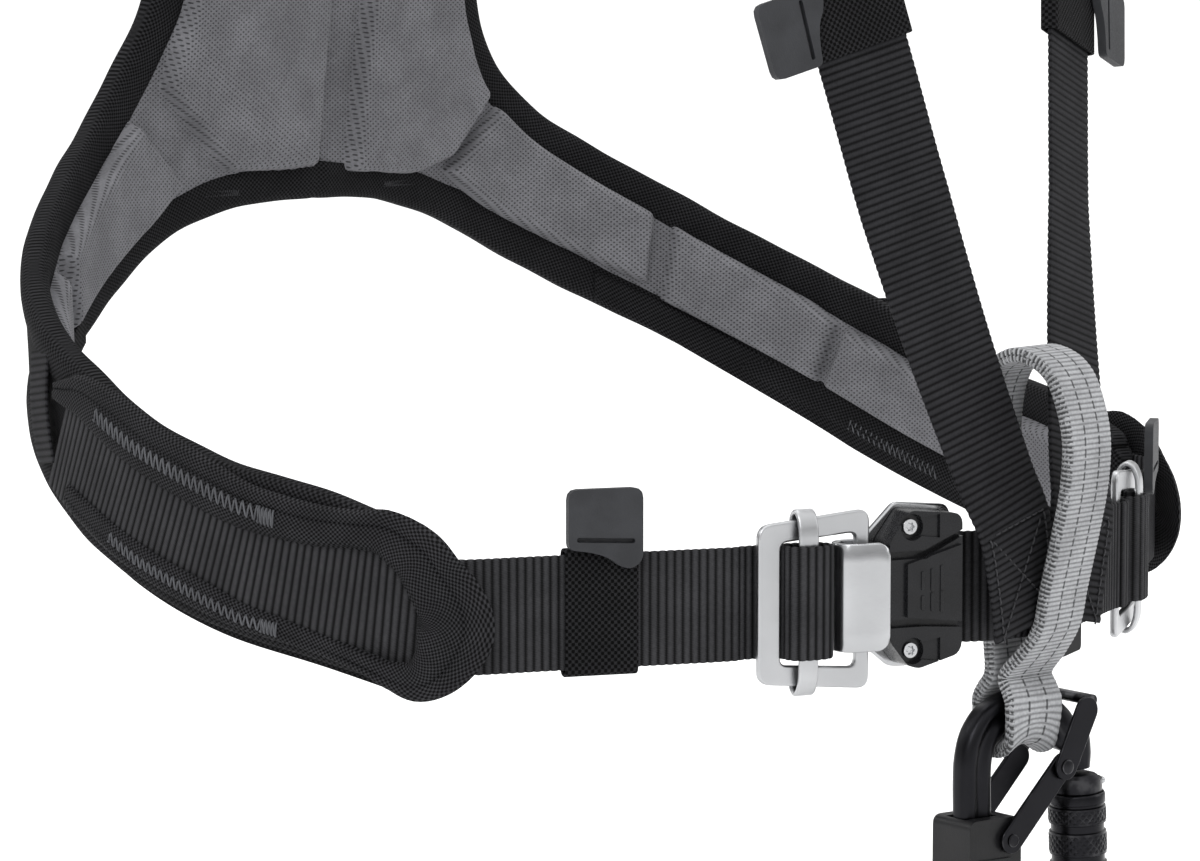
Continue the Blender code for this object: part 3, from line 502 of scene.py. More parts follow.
def cylinder(start, end, radius, place, sides=32):
    """A round bar between two points, as a bmesh."""
    start, end = Vector(start) * MM, Vector(end) * MM
    axis = end - start
    bm = bmesh.new()
    bmesh.ops.create_cone(bm, cap_ends=True, segments=sides, radius1=radius * MM,
                          radius2=radius * MM, depth=axis.length)
    turn = Vector((0, 0, 1)).rotation_difference(axis).to_matrix().to_4x4()
    bm.transform(place @ Matrix.Translation((start + end) / 2) @ turn)
    return bm


def lathe(name, profile, place, material, sides=64):
    """A turned piece: (radius, height) pairs from top to bottom; ends on the axis are closed."""
    angles = np.linspace(0, 2 * math.pi, sides, endpoint=False)
    profile = np.asarray(profile, float)
    points = [(r * math.cos(a), r * math.sin(a), h) for r, h in profile for a in angles]
    faces, uvs = [], []
    widest = profile[:, 0].max()
    for i in range(len(profile) - 1):
        for j in range(sides):
            k = (j + 1) % sides
            faces.append((i * sides + j, i * sides + k, (i + 1) * sides + k, (i + 1) * sides + j))
            ends = [(widest * angles[j], profile[i, 1]), (widest * (angles[j] + angles[1]), profile[i, 1])]
            uvs += ends + [(ends[1][0], profile[i + 1, 1]), (ends[0][0], profile[i + 1, 1])]
    thing = mesh_object(name, points, faces, uvs, material, 30)
    face_outward(thing.data, merge=1e-6)
    thing.data.transform(place)
    return thing


def threads(name, lines, radius, material):
    """Sewing thread: one thin tube along each line of points, all in one mesh."""
    sides = 5
    points, faces, uvs = [], [], []
    turn = np.linspace(0, 2 * math.pi, sides, endpoint=False)
    for line in lines:
        line = np.asarray(line, float)
        along = unit(np.gradient(line, axis=0))
        side = unit(np.cross(along, along + np.array([0.31, 0.52, 0.77])))
        up = np.cross(along, side)
        start = len(points)
        for p, s, w in zip(line, side, up):
            points += [p + radius * (math.cos(a) * s + math.sin(a) * w) for a in turn]
        for i in range(len(line) - 1):
            for j in range(sides):
                k = (j + 1) % sides
                a, b = start + i * sides, start + (i + 1) * sides
                faces.append((a + j, a + k, b + k, b + j))
                uvs += [(i, j), (i, k), (i + 1, k), (i + 1, j)]
        for i in (0, len(line) - 1):
            ring = [start + i * sides + j for j in range(sides)]
            faces.append(ring[::-1] if i == 0 else ring)
            uvs += [(i, 0)] * sides
    return mesh_object(name, points, faces, uvs, material, 0)


def zigzag(line, sideways, lift, pitch, width):
    """Points of a zigzag stitch over a line, lifted off the cloth between its two needle holes."""
    line, sideways, lift = resample(np.asarray(line), pitch / 2, np.asarray(sideways), np.asarray(lift))
    out = []
    for k, (p, s, n) in enumerate(zip(line, sideways, lift)):
        side = width / 2 * (1 if k % 2 else -1)
        out += [p + s * side * 0.7 + n * 0.35, p + s * side - n * 0.25]
    return np.array(out)


def dashes(line, lift, length, gap):
    """Straight lockstitches along a line."""
    line, lift = resample(np.asarray(line), (length + gap) / 4, np.asarray(lift))
    out = []
    for k in range(0, len(line) - 4, 4):
        part, up = line[k:k + 4], lift[k:k + 4]
        height = np.array([-0.25, 0.12, 0.12, -0.25])[:, None]
        out.append(part + up * height)
    return out


def stands_for(piece, body, *nodes):
    """The piece rides on a body, and is shown instead of the CAD nodes."""
    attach(piece, body)
    if nodes:
        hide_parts(*nodes)
    return piece


# ---- the torso outline and the yoke's edges ---------------------------------------------------------
OUTLINE = [(0, 173), (45, 177), (90, 176), (130, 167), (165, 151), (198, 130), (222, 105), (239, 75),
           (248, 42), (251, 6), (248, -32), (239, -72), (225, -112), (203, -146), (165, -172),
           (124, -190), (75, -211), (35, -227), (0, -233)]
ARMHOLE = [(224, -114, 50), (238, -73, 64), (248, -31, 73), (252, 9, 86), (248, 46, 103),
           (239, 80, 119), (222, 109, 136), (198, 132, 154), (170, 151, 172), (143, 165, 190),
           (119, 172, 214), (103, 169, 243), (98, 165, 270), (98, 157, 298), (101, 139, 328),
           (106, 108, 356), (111, 62, 377), (115, 12, 386), (118, -42, 384), (119, -96, 373),
           (119, -134, 357), (117, -160, 331)]
HEM = [(223, -116.5, -13), (239, -68, 0), (247, -20, 10), (247, 26, 25), (239, 67, 44), (222, 102, 63),
       (198, 131, 82), (164, 151, 101), (127, 167, 121), (89, 176, 141), (46, 177, 153), (0, 173, 156)]
SEAM = [(0, 173, 156), (0, 172, 225), (0, 168, 288)]
NECK = [(0, 168, 288), (31, 150, 325), (43, 110, 364), (49, 62, 390), (53, 12, 399), (56, -42, 397),
        (58, -98, 386), (60, -146, 359), (60, -178, 327)]
STEPS = 28                  # stations between the corners of each edge line
ACROSS = 72                 # places across the half yoke
EVEN_OUT = 40               # passes that even out the yoke's surface
INSET = 9.0                 # how far the lining and the shell stay inside the yoke's edge
RISE = 8.0                  # how far a panel stands out of the channels round it
BIND = 16.5                 # width of the edge binding
CHEST_Z, WEB, WEB_T = 20.0, 44.0, 2.0

FINE = smooth_curve(OUTLINE, 16)
FINE_RUN = run_along(FINE)
FINE_ALONG = unit(np.gradient(FINE, axis=0))


def on_wall(run, height, side, out=0.0):
    """Point at a distance round the outline from the back seam, a height and a distance outward."""
    here, ahead, behind = (np.array([np.interp(r, FINE_RUN, FINE[:, k]) for k in (0, 1)])
                           for r in (run, run + 1, run - 1))
    along = unit(ahead - behind)
    outward = np.array([-along[1], along[0]])
    if np.dot(outward, here) < 0:
        outward = -outward
    point = here + outward * out
    return np.array([point[0] * side, point[1], height])


def wall_direction(run, side):
    """Outward direction of the wall."""
    return unit(on_wall(run, 0, side, 1.0) - on_wall(run, 0, side, 0.0))


def wall_run(points):
    """How far round the outline each point of the half with x >= 0 is."""
    gaps = np.linalg.norm(points[:, None, :2] - FINE[None], axis=2)
    nearest = np.argmin(gaps, axis=1)
    beyond = ((points[:, :2] - FINE[nearest]) * FINE_ALONG[nearest]).sum(1)
    return FINE_RUN[nearest] + np.clip(beyond, -1.5, 1.5)


def yoke_edges():
    """The armhole edge, the edge that faces it, and where the hem and the seam end along that."""
    armhole = smooth_curve(ARMHOLE, STEPS)
    hem, seam, neck = (smooth_curve(line, STEPS) for line in (HEM, SEAM, NECK))
    return armhole, np.vstack([hem[:-1], seam[:-1], neck]), len(hem) - 1, len(hem) + len(seam) - 2


ARM_EDGE, FACING_EDGE, HEM_END, SEAM_END = yoke_edges()


def edge_frames(edge, other):
    """Directions along an edge, inward over the cloth and outward from the body."""
    along = unit(np.gradient(edge, axis=0))
    toward = unit(other - edge)
    outward = unit(np.cross(along, toward))
    inward = unit(np.cross(outward, along))
    return along, inward, outward


def yoke_grid(inset, across):
    """The half yoke's middle surface, stations by places across, and its outward directions.

    Where the hem turns into the centre seam the stations fan out, so the surface is evened out along
    its length, and held at its two edges.
    """
    _, arm_in, _ = edge_frames(ARM_EDGE, FACING_EDGE)
    low = FACING_EDGE.copy()
    for first, last in ((0, HEM_END + 1), (SEAM_END, len(low))):
        _, inward, _ = edge_frames(FACING_EDGE[first:last], ARM_EDGE[first:last])
        low[first:last] += inward * inset
    low[HEM_END] = FACING_EDGE[HEM_END] + (0, 0, inset)
    low[SEAM_END] = FACING_EDGE[SEAM_END] - (0, 0, inset * 1.25)
    seam = low[HEM_END:SEAM_END + 1]
    seam[:, 0] = 0.0
    seam[:, 2] = np.linspace(seam[0, 2], seam[-1, 2], len(seam))
    low[:, 0] = np.maximum(low[:, 0], 0.0)
    top = ARM_EDGE + arm_in * inset
    place = np.linspace(0, 1, across)[None, :, None]
    grid = top[:, None] + (low - top)[:, None] * place
    if across > 3:
        freedom = np.clip(np.minimum(place, 1 - place) * 6, 0, 1)
        for _ in range(EVEN_OUT):
            even = grid.copy()
            even[1:-1] = (grid[:-2] + 2 * grid[1:-1] + grid[2:]) / 4
            grid = grid + (even - grid) * freedom
    outward = unit(np.cross(np.gradient(grid, axis=1), np.gradient(grid, axis=0)))
    outward[np.abs(grid[:, :, 0]) < 1e-6, 0] = 0.0
    return grid, unit(outward)


# raised foam panels of the lining as corners (distance round the wall, height); the rest is channels
WING_PANELS = [[(87, 165), (118, 192), (200, 151), (195, 111), (112, 147)],
               [(212, 141), (248, 123), (292, 89), (279, 57), (205, 100)],
               [(299, 86), (345, 66), (420, 50), (466, 42), (470, -1), (400, 6), (340, 18), (284, 52)]]
BACK_PANEL = {1: [(18, 166), (64, 166), (87, 172), (115, 203), (100, 243), (92, 300), (40, 322),
                  (24, 290), (27, 243)],
              -1: [(5, 171), (56, 172), (95, 208), (84, 245), (88, 300), (40, 322), (4, 275), (-2, 243)]}


# panels over the shoulder, between two corners of the neck line counted from the seam
SHOULDER_PANELS = ((1.75, 4.5), (4.9, 7.5))
CORNER_GAP = 36.0           # about how far apart those corners are
SHOULDER_BREADTH, SHOULDER_MARGIN = 44.0, 0.16


def inside_by(u, v, corners):
    """How far inside a polygon each point is, negative outside."""
    corners = np.asarray(corners, float)
    following = np.roll(corners, -1, axis=0)
    nearest = np.full(u.shape, 1e9)
    inside = np.zeros(u.shape, bool)
    for (x0, y0), (x1, y1) in zip(corners, following):
        dx, dy = x1 - x0, y1 - y0
        t = np.clip(((u - x0) * dx + (v - y0) * dy) / (dx * dx + dy * dy), 0, 1)
        nearest = np.minimum(nearest, np.hypot(u - x0 - t * dx, v - y0 - t * dy))
        crosses = (y0 > v) != (y1 > v)
        inside ^= crosses & (u < x0 + (v - y0) * dx / (dy if dy else 1e-9))
    return np.where(inside, nearest, -nearest)


def swell(distance, rise, width):
    """A padded panel's height: a steep soft edge and then a slow crown."""
    t = np.clip((distance + 1.0) / width, 0, 1)
    crown = np.clip(distance / 26, 0, 1)
    return rise * np.sqrt(t * (2 - t)) * (t * (2 - t)) ** 0.25 + 0.4 * crown * (2 - crown)


def soften(field):
    """Averages each place of a field of heights with its neighbours."""
    wide = np.pad(field, 1, mode="edge")
    return (wide[:-2, 1:-1] + wide[2:, 1:-1] + wide[1:-1, :-2] + wide[1:-1, 2:] + 4 * field) / 8


def lining_height(grid, side):
    """How far the lining stands up over the foam of the back, the wing and the shoulder."""
    flat = grid.reshape(-1, 3)
    run, height = wall_run(flat), flat[:, 2]
    panels = [swell(inside_by(run, height, corners), RISE, 3.4)
              for corners in WING_PANELS + [BACK_PANEL[side]]]
    total = np.max(panels, axis=0).reshape(grid.shape[:2])
    total[SEAM_END + STEPS:] = 0.0
    past_seam = (np.arange(len(grid))[:, None] - SEAM_END) / STEPS
    place = np.linspace(0, 1, grid.shape[1])[None]
    over_edge = (np.minimum(place, 1 - place) - SHOULDER_MARGIN) * SHOULDER_BREADTH
    for first, last in SHOULDER_PANELS:
        over_end = np.minimum(past_seam - first, last - past_seam) * CORNER_GAP
        total = np.maximum(total, swell(np.minimum(over_end, over_edge), RISE * 0.7, 6.0))
    return soften(total)


def yoke_sheet(name, side, depth, thickness, material, padded=False, stride=1):
    """One half of the yoke's lining or outer fabric, as a closed thin sheet."""
    across = ACROSS
    grid, outward = yoke_grid(INSET, across)
    middle = grid + outward * depth
    if padded:
        over = np.linalg.norm(np.diff(grid, axis=1), axis=2).cumsum(1)
        over = np.hstack([np.zeros((len(grid), 1)), over])
        from_edge = np.minimum(over, over[:, -1:] - over)
        from_edge[HEM_END:SEAM_END + 1] = over[HEM_END:SEAM_END + 1]
        rim = np.clip((from_edge - 6.5) / 4.5, 0, 1)
        middle = middle - outward * (lining_height(grid, side) * np.sqrt(rim * (2 - rim)))[:, :, None]
    grid, middle = grid[::stride], middle[::stride]
    normal = unit(np.cross(np.gradient(middle, axis=1), np.gradient(middle, axis=0)))
    normal[np.abs(grid[:, :, 0]) < 1e-6, 0] = 0.0
    faces, uvs, points = [], [], []
    rows = len(grid)
    run = run_along(grid[:, across // 2])
    breadth = np.linalg.norm(np.diff(grid, axis=1), axis=2).cumsum(1)
    breadth = np.hstack([np.zeros((rows, 1)), breadth])
    for level in (0.5, -0.5):
        points.append((middle + normal * thickness * level).reshape(-1, 3))
    size = rows * across
    around = wall_run(grid.reshape(-1, 3)).reshape(rows, across)
    on_shoulder = (SEAM_END + STEPS) // stride

    def corner(i, j, first):
        """Level rows of weave on the back and wings, and rows along the shoulders."""
        return (around[i, j], grid[i, j, 2]) if first < on_shoulder else (run[i], breadth[i, j])

    for i in range(rows - 1):
        for j in range(across - 1):
            quad = [(i, j), (i, j + 1), (i + 1, j + 1), (i + 1, j)]
            for level in (0, 1):
                order = quad if level == 0 else quad[::-1]
                faces.append(tuple(level * size + a * across + b for a, b in order))
                uvs += [corner(a, b, i) for a, b in order]
    rim = [(i, 0) for i in range(rows)] + [(rows - 1, j) for j in range(1, across)]
    rim += [(i, across - 1) for i in range(rows - 2, -1, -1)] + [(0, j) for j in range(across - 2, 0, -1)]
    for a, b in zip(rim, rim[1:] + rim[:1]):
        first, second = a[0] * across + a[1], b[0] * across + b[1]
        faces.append((first, second, size + second, size + first))
        first_row = min(a[0], b[0])
        uvs += [corner(*end, first_row) for end in (a, b, b, a)]
    cloud = np.vstack(points) * (side, 1, 1)
    thing = mesh_object(name, cloud, faces, uvs, material, 60)
    face_outward(thing.data)
    return thing


def make_yoke():
    """The grey lining over its foam panels, and the outer fabric."""
    for side, word in ((1, "left"), (-1, "right")):
        lining = yoke_sheet(f"lining_{word}", side, -3.8, 1.0, "mesh", padded=True)
        stands_for(lining, "harness", "yoke_lining", f"foam_back_{word}", f"foam_wing_rear_{word}",
                   f"foam_wing_front_{word}", f"foam_shoulder_{word}")
        shell = yoke_sheet(f"shell_{word}", side, 4.2, 1.2, "shell", stride=4)
        stands_for(shell, "harness", "yoke_shell")


def binding_section():
    """Padded edge: thick along the outside edge, thinner where it is sewn to the cloth."""
    outer, inner, half = 5.8, 5.4, BIND / 2
    corners = [(-half, 0), (-half + 0.3, outer * 0.62), (-half + 2.6, outer), (-half + 6.5, outer + 0.5),
               (half - 4, outer - 0.2), (half - 1.2, outer - 1.2), (half, outer - 2.6), (half, -inner + 2),
               (half - 0.8, -inner + 0.6), (half - 4, -inner), (-half + 5, -inner - 0.3),
               (-half + 2, -inner + 0.6), (-half + 0.3, -inner * 0.55)]
    return smooth_curve(corners, 2, closed=True)


def binding(name, edge, inward, outward):
    """A padded binding along an edge, rounded at its ends, with the small uneven swell of sewing."""
    centre = edge + inward * BIND / 2
    centre, inward, outward = resample(centre, 3.0, inward, outward)
    run = run_along(centre)
    swing = np.sin(run / 5.3) * 0.5 + np.sin(run / 8.9 + 1.3) * 0.5
    sections = binding_section()[None] * (1 + 0.03 * swing)[:, None, None]
    taper = np.clip((np.minimum(run, run[-1] - run) + 1.5) / 9.0, 0, 1)
    taper = np.sqrt(taper * (2 - taper))
    sections[:, :, 0] = BIND / 2 - (BIND / 2 - sections[:, :, 0]) * taper[:, None]
    return sweep(name, centre, unit(inward), unit(outward), sections, "binding", sharp=75)


def both_sides(edge, inward, outward):
    """A line of the half with x >= 0, running to the middle, carried on over the other half."""
    flip = np.array([-1, 1, 1])
    return [np.vstack([item, (item * flip)[-2::-1]]) for item in (edge, inward, outward)]


def make_bindings():
    """The bindings of the armholes, the wings' front ends, the hem and the neck."""
    _, inward, outward = edge_frames(ARM_EDGE, FACING_EDGE)
    for side, word in ((1, "left"), (-1, "right")):
        flip = np.array([side, 1, 1])
        piece = binding(f"armhole_edge_{word}", ARM_EDGE * flip, inward * flip, -outward * flip)
        stands_for(piece, "harness", f"armhole_binding_{word}")
        front = np.linspace(ARM_EDGE[0] + (1, -1, -3), FACING_EDGE[0] + (1, -1, 3), 12)
        back = np.tile(unit(np.array([0.28, 0.96, 0.0])), (12, 1))
        out = np.tile(unit(np.array([0.96, -0.28, 0.0])), (12, 1))
        piece = binding(f"wing_end_{word}", front * flip, back * flip, out * flip)
        stands_for(piece, "harness")
    edge, other = FACING_EDGE[:HEM_END + 1], ARM_EDGE[:HEM_END + 1]
    _, inward, outward = edge_frames(edge, other)
    inward[-1], outward[-1] = (0, 0, 1), (0, 1, 0)
    piece = binding("hem_edge", *both_sides(edge, inward, outward))
    stands_for(piece, "harness", "hem_binding")
    edge, other = FACING_EDGE[SEAM_END:], ARM_EDGE[SEAM_END:]
    _, inward, outward = edge_frames(edge, other)
    inward[0], outward[0] = (0, 0, -1), (0, 1, 0)
    piece = binding("neck_edge", *both_sides(edge[::-1], inward[::-1], outward[::-1]))
    stands_for(piece, "harness", "neck_binding")


# the middle of the chest webbing on the wing: (distance round the wall, height)
WEB_MIDDLE = [(274, 82), (290, 75.5), (310, 65.5), (343, 50), (394, 32.5), (438, 24), (462, 21)]


def web_height(run):
    """Height of the chest webbing's middle on the wing."""
    return np.interp(run, [m[0] for m in WEB_MIDDLE], [m[1] for m in WEB_MIDDLE])


def hem_height(run):
    hem = FACING_EDGE[:HEM_END + 1][::-1]
    return np.interp(run, wall_run(hem), hem[:, 2])


def wall_zigzag(first, last, offset, depth, side, pitch, width, follow=web_height):
    """A zigzag over the wall, between two distances round it, at a height over the line it follows."""
    runs = np.linspace(first, last, 60)
    gap = np.interp(runs, (first, last), offset)
    line = np.array([on_wall(r, follow(r) + g, side, depth) for r, g in zip(runs, gap)])
    lift = np.array([wall_direction(r, side) for r in runs]) * (1 if depth > 0 else -1)
    return zigzag(line, np.tile([0, 0, 1.0], (60, 1)), lift, pitch, width)


# zigzags beside the chest webbing, each with a dense bar tack at its front end: (first and last distance
# round the wall, distances from the webbing's middle, depth, pitch, width)
WING_ROWS = [(322, 404, (28.0, 25.0), 10.4, 3.4, 6.0), (404, 411, (24.8, 24.4), 10.4, 1.5, 7.0),
             (328, 404, (-16.6, -18.0), 8.7, 3.4, 4.8), (404, 411, (-18.0, -18.0), 8.7, 1.5, 5.6)]


def make_seams():
    """Centre seam, and the zigzags and bar tacks on the wings."""
    bright, dark = [], []
    heights = np.linspace(172, 262, 60)
    seam = np.array([(-0.5, np.interp(z, [150, 225, 300], [172.2, 172, 167]) - 5.0, z) for z in heights])
    sideways, inward = np.tile([1.0, 0, 0], (60, 1)), np.tile([0, -1.0, 0], (60, 1))
    dark.append(zigzag(seam, sideways, inward, 2.4, 4.5))
    for side in (1, -1):
        for first, last, offset, depth, pitch, width in WING_ROWS:
            bright.append(wall_zigzag(first, last, offset, depth, side, pitch, width))
        bright.append(wall_zigzag(300, 350, (6.0, 6.0), -8.0, side, 3.0, 6.0, hem_height))
        for first, last, height in ((2, 20, 164.5), (46, 66, 160)):
            dark.append(wall_zigzag(first, last, (height, height), -6.1, side, 1.3, 3.2, lambda r: 0.0))
    stands_for(threads("wing_stitching", bright, 0.42, "thread"), "harness")
    stands_for(threads("seam_stitching", dark, 0.38, "black_thread"), "harness")


# ---- straps, adjusters and buckle -----------------------------------------------------------------
def place_at(origin, along, up):
    """Local X along the strap, local Z up its width, local -Y outward."""
    x = Vector(along).normalized()
    z = (Vector(up) - x * x.dot(Vector(up))).normalized()
    turn = Matrix((x, z.cross(x), z)).transposed().to_4x4()
    return Matrix.Translation(Vector(origin) * MM) @ turn


ADJUSTER, ADJUSTER_YAW = (-104.0, -199.0, 19.5), math.radians(-23.1)
SURFACE_Y = -230.4          # outer face of the chest webbing over the breastbone
# the webbing's way through an adjuster, as (along, outward)
THREAD = [(-27, -5.6), (-14, -5.8), (-1.5, -5.5), (4.4, -3.4), (6.6, 0.4), (5.6, 4.6), (1.6, 7.1),
          (-5.5, 7.4), (-9.8, 6.4), (-11.8, 2.8), (-12.0, -0.4), (-14.6, -3.1), (-22, -3.3)]
STRAP_D, WING_END = 6.7, 486.0


def chest_place(side):
    """Where a chest adjuster sits; the left one is the right one turned half round."""
    along = Vector((math.cos(ADJUSTER_YAW), math.sin(ADJUSTER_YAW), 0))
    if side < 0:
        return place_at(ADJUSTER, along, (0, 0, 1))
    return place_at((-ADJUSTER[0], ADJUSTER[1], ADJUSTER[2]), (-along.x, along.y, 0), (0, 0, -1))


def placed(place, points):
    """Local points in world millimetres."""
    return np.array([np.array(place @ (Vector(p) * MM)) / MM for p in points])


def to_world(place, points):
    """Local (along, outward, up) points in world millimetres."""
    return list(placed(place, [(a, -d, z) for a, d, z in points]))


def middle_height(side):
    return (ADJUSTER[2] - CHEST_Z) * side


def free_run(side):
    """Both ends of the chest webbing between the wing and the adjuster."""
    start = on_wall(WING_END, CHEST_Z, side, STRAP_D + 0.9)
    end = to_world(chest_place(side), [(*THREAD[0], middle_height(side))])[0]
    return start, end - (end - start) * 0.07 + np.array([0.8 * side, -1.8, 0])


def make_chest_strap(side, word):
    """Chest webbing from the slot in the wing to the turn round the adjuster."""
    path = [on_wall(run, height, side, STRAP_D - 0.9) for run, height in WEB_MIDDLE[1:]]
    path.append(on_wall(WING_END - 12, CHEST_Z, side, STRAP_D - 0.3))
    start, end = free_run(side)
    path += [start + (end - start) * f for f in (0, 0.3, 0.7, 1)]
    path += to_world(chest_place(side), [(a, d, middle_height(side)) for a, d in THREAD])
    line = smooth_curve(path, 10)
    along = unit(np.gradient(line, axis=0))
    lean = np.clip(along[:, 2], -0.6, 0.6) * (line[:, 1] > -150)
    flat = along.copy()
    flat[:, 2] = 0
    across = np.array([0.0, 0.0, 1.0]) - unit(flat) * lean[:, None]
    strap = webbing(f"chest_webbing_{word}", line, across, WEB, WEB_T, 3.3, "webbing")
    stands_for(strap, "harness", f"chest_strap_{word}")


def make_frame(name, place):
    """Ladder frame with soft edges, taller at its inner bar."""
    outline = rounded([(-24, -30.5), (24, -35), (24, 35), (-24, 30.5)], 5.5)
    window = rounded([(-14.5, -23.5), (18, -26), (18, 26), (-14.5, 23.5)], 3, 4)
    hole = solid_plate(window, -4, 4, place)
    frame_piece = plate(f"{name}_metal", outline, -1.5, 1.5, "satin", place, 0.9, cuts=[hole])
    stands_for(frame_piece, "harness", name)


def make_slider(name, place, body):
    """Slider bar: crosses in front of the window and hooks round both rails, with a rounded end."""
    x = -4.2
    half = [(4.6, 0), (4.6, 12), (4.6, 23), (4.5, 27), (4.0, 30), (2.4, 33.6), (0.2, 35), (-1.6, 34.4),
            (-3.2, 32.4), (-3.6, 29.4), (-3.6, 27.2)]
    lower = [(d, -z) for d, z in reversed(half[1:])]
    line = smooth_curve([(x, -d, z) for d, z in lower + half], 5)
    across = np.tile([1.0, 0, 0], (len(line), 1))
    out = np.cross(unit(np.gradient(line, axis=0)), across)
    width = 8.4 * np.clip(0.86 + 0.02 * np.abs(line[:, 2]) - 0.3, 0.86, 1.0)
    sections = scaled(flat_section(1.0, 2.0, 0.12), width, np.ones(len(width)))
    turn = np.array(place.to_3x3())
    bar = sweep(f"{name}_metal", placed(place, line), across @ turn.T, out @ turn.T, sections, "satin",
                sharp=50)
    stands_for(bar, body, name)


def make_hook(place):
    """The buckle's curved plate: flat at the base, round the bend, with rounded free corners."""
    line = smooth_curve([(28.6, 8.3), (25, 8.5), (20, 8.6), (15.4, 8.3), (11.2, 6.3), (9.6, 1.8),
                         (11.0, -2.6), (14.5, -5.4), (20, -6.2), (34, -6.2)], 6)
    run = run_along(line)
    corner = 5.0
    inside = np.clip(run, 0, corner)
    half = 21 - corner + np.sqrt(np.maximum(corner ** 2 - (corner - inside) ** 2, 0))
    sections = scaled(flat_section(2.0, 2.6, 0.03), half, np.ones(len(half)))
    points = np.array(to_world(place, [(a, d, 1.5) for a, d in line]))
    along = unit(np.gradient(points, axis=0))
    across = np.tile(np.array(place.to_3x3() @ Vector((0, 0, 1))), (len(points), 1))
    hook = sweep("buckle_hook_plate", points, across, np.cross(along, across), sections, "steel", sharp=50)
    outline = rounded([(25, -19), (36, -28), (44, -28.5), (61, -24), (63, -21), (63, 31), (61, 34),
                       (38, 36), (25, 23.5)], 2, 3)
    base_plate = plate("buckle_base_plate", outline, -7.4, -4.6, "steel", place, 0.9)
    stands_for(hook, "harness", "buckle_base")
    stands_for(base_plate, "harness", "buckle_base")


SCREWS = ((39, 27.5), (39.5, -20.5))
SLITS = ((16.8, 4.2), (-9.6, -0.9))         # height of each slit in the cover, and how far it leans


def make_cover(place):
    """The faceted plastic cover: raised middle, screw scoops, slits and short bars on the middle."""
    outline = rounded([(29, -16), (37, -26), (42, -27.5), (59, -23), (61, -20), (61, 29.5), (59, 32),
                       (38, 34), (29, 22)], 1.6, 2)
    cuts = [solid_plate([(27, z - 1.6), (44, z - 1.6), (62, z - 1.2 + 1.9 * lean),
                         (62, z + 1.2 + 1.9 * lean), (44, z + 1.6), (27, z + 1.6)], 5.2, 12, place)
            for z, lean in SLITS]
    for x, z in SCREWS:
        cuts.append(cylinder((x, -5.2, z), (x, -12, z), 5.2, place))
        scoop = [(x + 3, z - 3.4), (x + 12, z - 4.6), (x + 12, z + 4.6), (x + 3, z + 3.4)]
        cuts.append(solid_plate(scoop, 7.2, 12, place))
    raised = solid_plate([(36, -7.0), (60, -10.5), (60, 20), (36, 13.5)], 6, 10.2, place)
    cover = plate("buckle_cover_shell", outline, -4.2, 8.4, "cover", place, 1.1, cuts, [raised])
    stands_for(cover, "harness", "buckle_cover")
    bars = [(42.5 + 4.2 * k, low - 0.6 * k, high + 1.0 * k)
            for k in range(3) for low, high in ((-4.5, 1.2), (3.2, 10.5))]
    for k, (x, low, high) in enumerate(bars):
        rib = plate(f"cover_rib_{k}", rounded([(x - 0.7, low), (x + 0.7, low), (x + 0.7, high),
                                               (x - 0.7, high)], 0.6, 3), 10.0, 10.7, "cover", place, 0.2)
        stands_for(rib, "harness")


def make_screws(place):
    for k, (x, z) in enumerate(SCREWS):
        star = []
        for i in range(36):
            angle = math.radians(10 * i)
            radius = 1.5 + 0.35 * math.cos(6 * angle)
            star.append((x + radius * math.cos(angle), z + radius * math.sin(angle)))
        head = [(x + 3.1 * math.cos(math.radians(15 * i)), z + 3.1 * math.sin(math.radians(15 * i)))
                for i in range(24)]
        screw = plate(f"screw_head_{k + 1}", head, 4.0, 6.6, "steel", place, 0.5,
                      cuts=[solid_plate(star, 5.4, 8, place)])
        stands_for(screw, "harness", f"cover_screw_{k + 1}")


def make_levers(place):
    """The ends of the two release levers, which show in the cover's slits."""
    for (z, _), word in zip(SLITS, ("upper", "lower")):
        turn = place @ Matrix.Translation(Vector((31.7, -3.2, z)) * MM) @ Matrix.Rotation(math.pi / 2, 4, "Y")
        profile = [(0, 6.3), (0.9, 6.3), (1.2, 6.0), (1.2, -5.9), (0.9, -6.2), (0, -6.2)]
        pin = lathe(f"lever_{word}", [(r, -h) for r, h in profile], turn, "steel", 24)
        stands_for(pin, f"release_lever_{word}", f"release_lever_{word}")


def loop_round_bar(place, middle, out):
    """Webbing turned round an adjuster's inner bar."""
    return to_world(place, [(a, d, middle) for a, d in
                            [(32, -4.4), (22, -4.9), (15.5, -4.4), (13.2, -1.2), (14.4, 2.4), (18, 4.0),
                             (24, 4.0), (30, out)]])


def make_sternal_strap():
    left = loop_round_bar(chest_place(1), middle_height(1), 1.2)
    run = [on_wall(692, CHEST_Z, 1, -1.5), np.array((14.0, SURFACE_Y + 0.8, CHEST_Z)),
           np.array((-8.0, SURFACE_Y + 0.5, CHEST_Z)), np.array((-26.0, SURFACE_Y + 5.6, CHEST_Z))]
    end = to_world(chest_place(-1), [(a, d, middle_height(-1)) for a, d in
                                     ((70, -9.0), (62, -9.6), (50, -9.8))])
    line = smooth_curve(left + run + end, 10)
    strap = webbing("sternal_webbing", line, np.tile([0.0, 0, 1.0], (len(line), 1)), WEB, WEB_T, 3.3,
                    "webbing")
    stands_for(strap, "harness", "sternal_strap")


# ---- shoulder webbing and keepers -------------------------------------------------------------------
SHOULDER_ADJUSTER = (80.9, -188.4, 288.0)
SHOULDER_ALONG, SHOULDER_OUT = (0.221, 0.169, 0.961), (0.28, -0.96, 0.10)
SHOULDER_RUN = [(15, 3), (19, 24), (24.3, 45), (30, 66), (42, 116), (54, 169), (64, 213), (71, 243),
                (75, 260)]


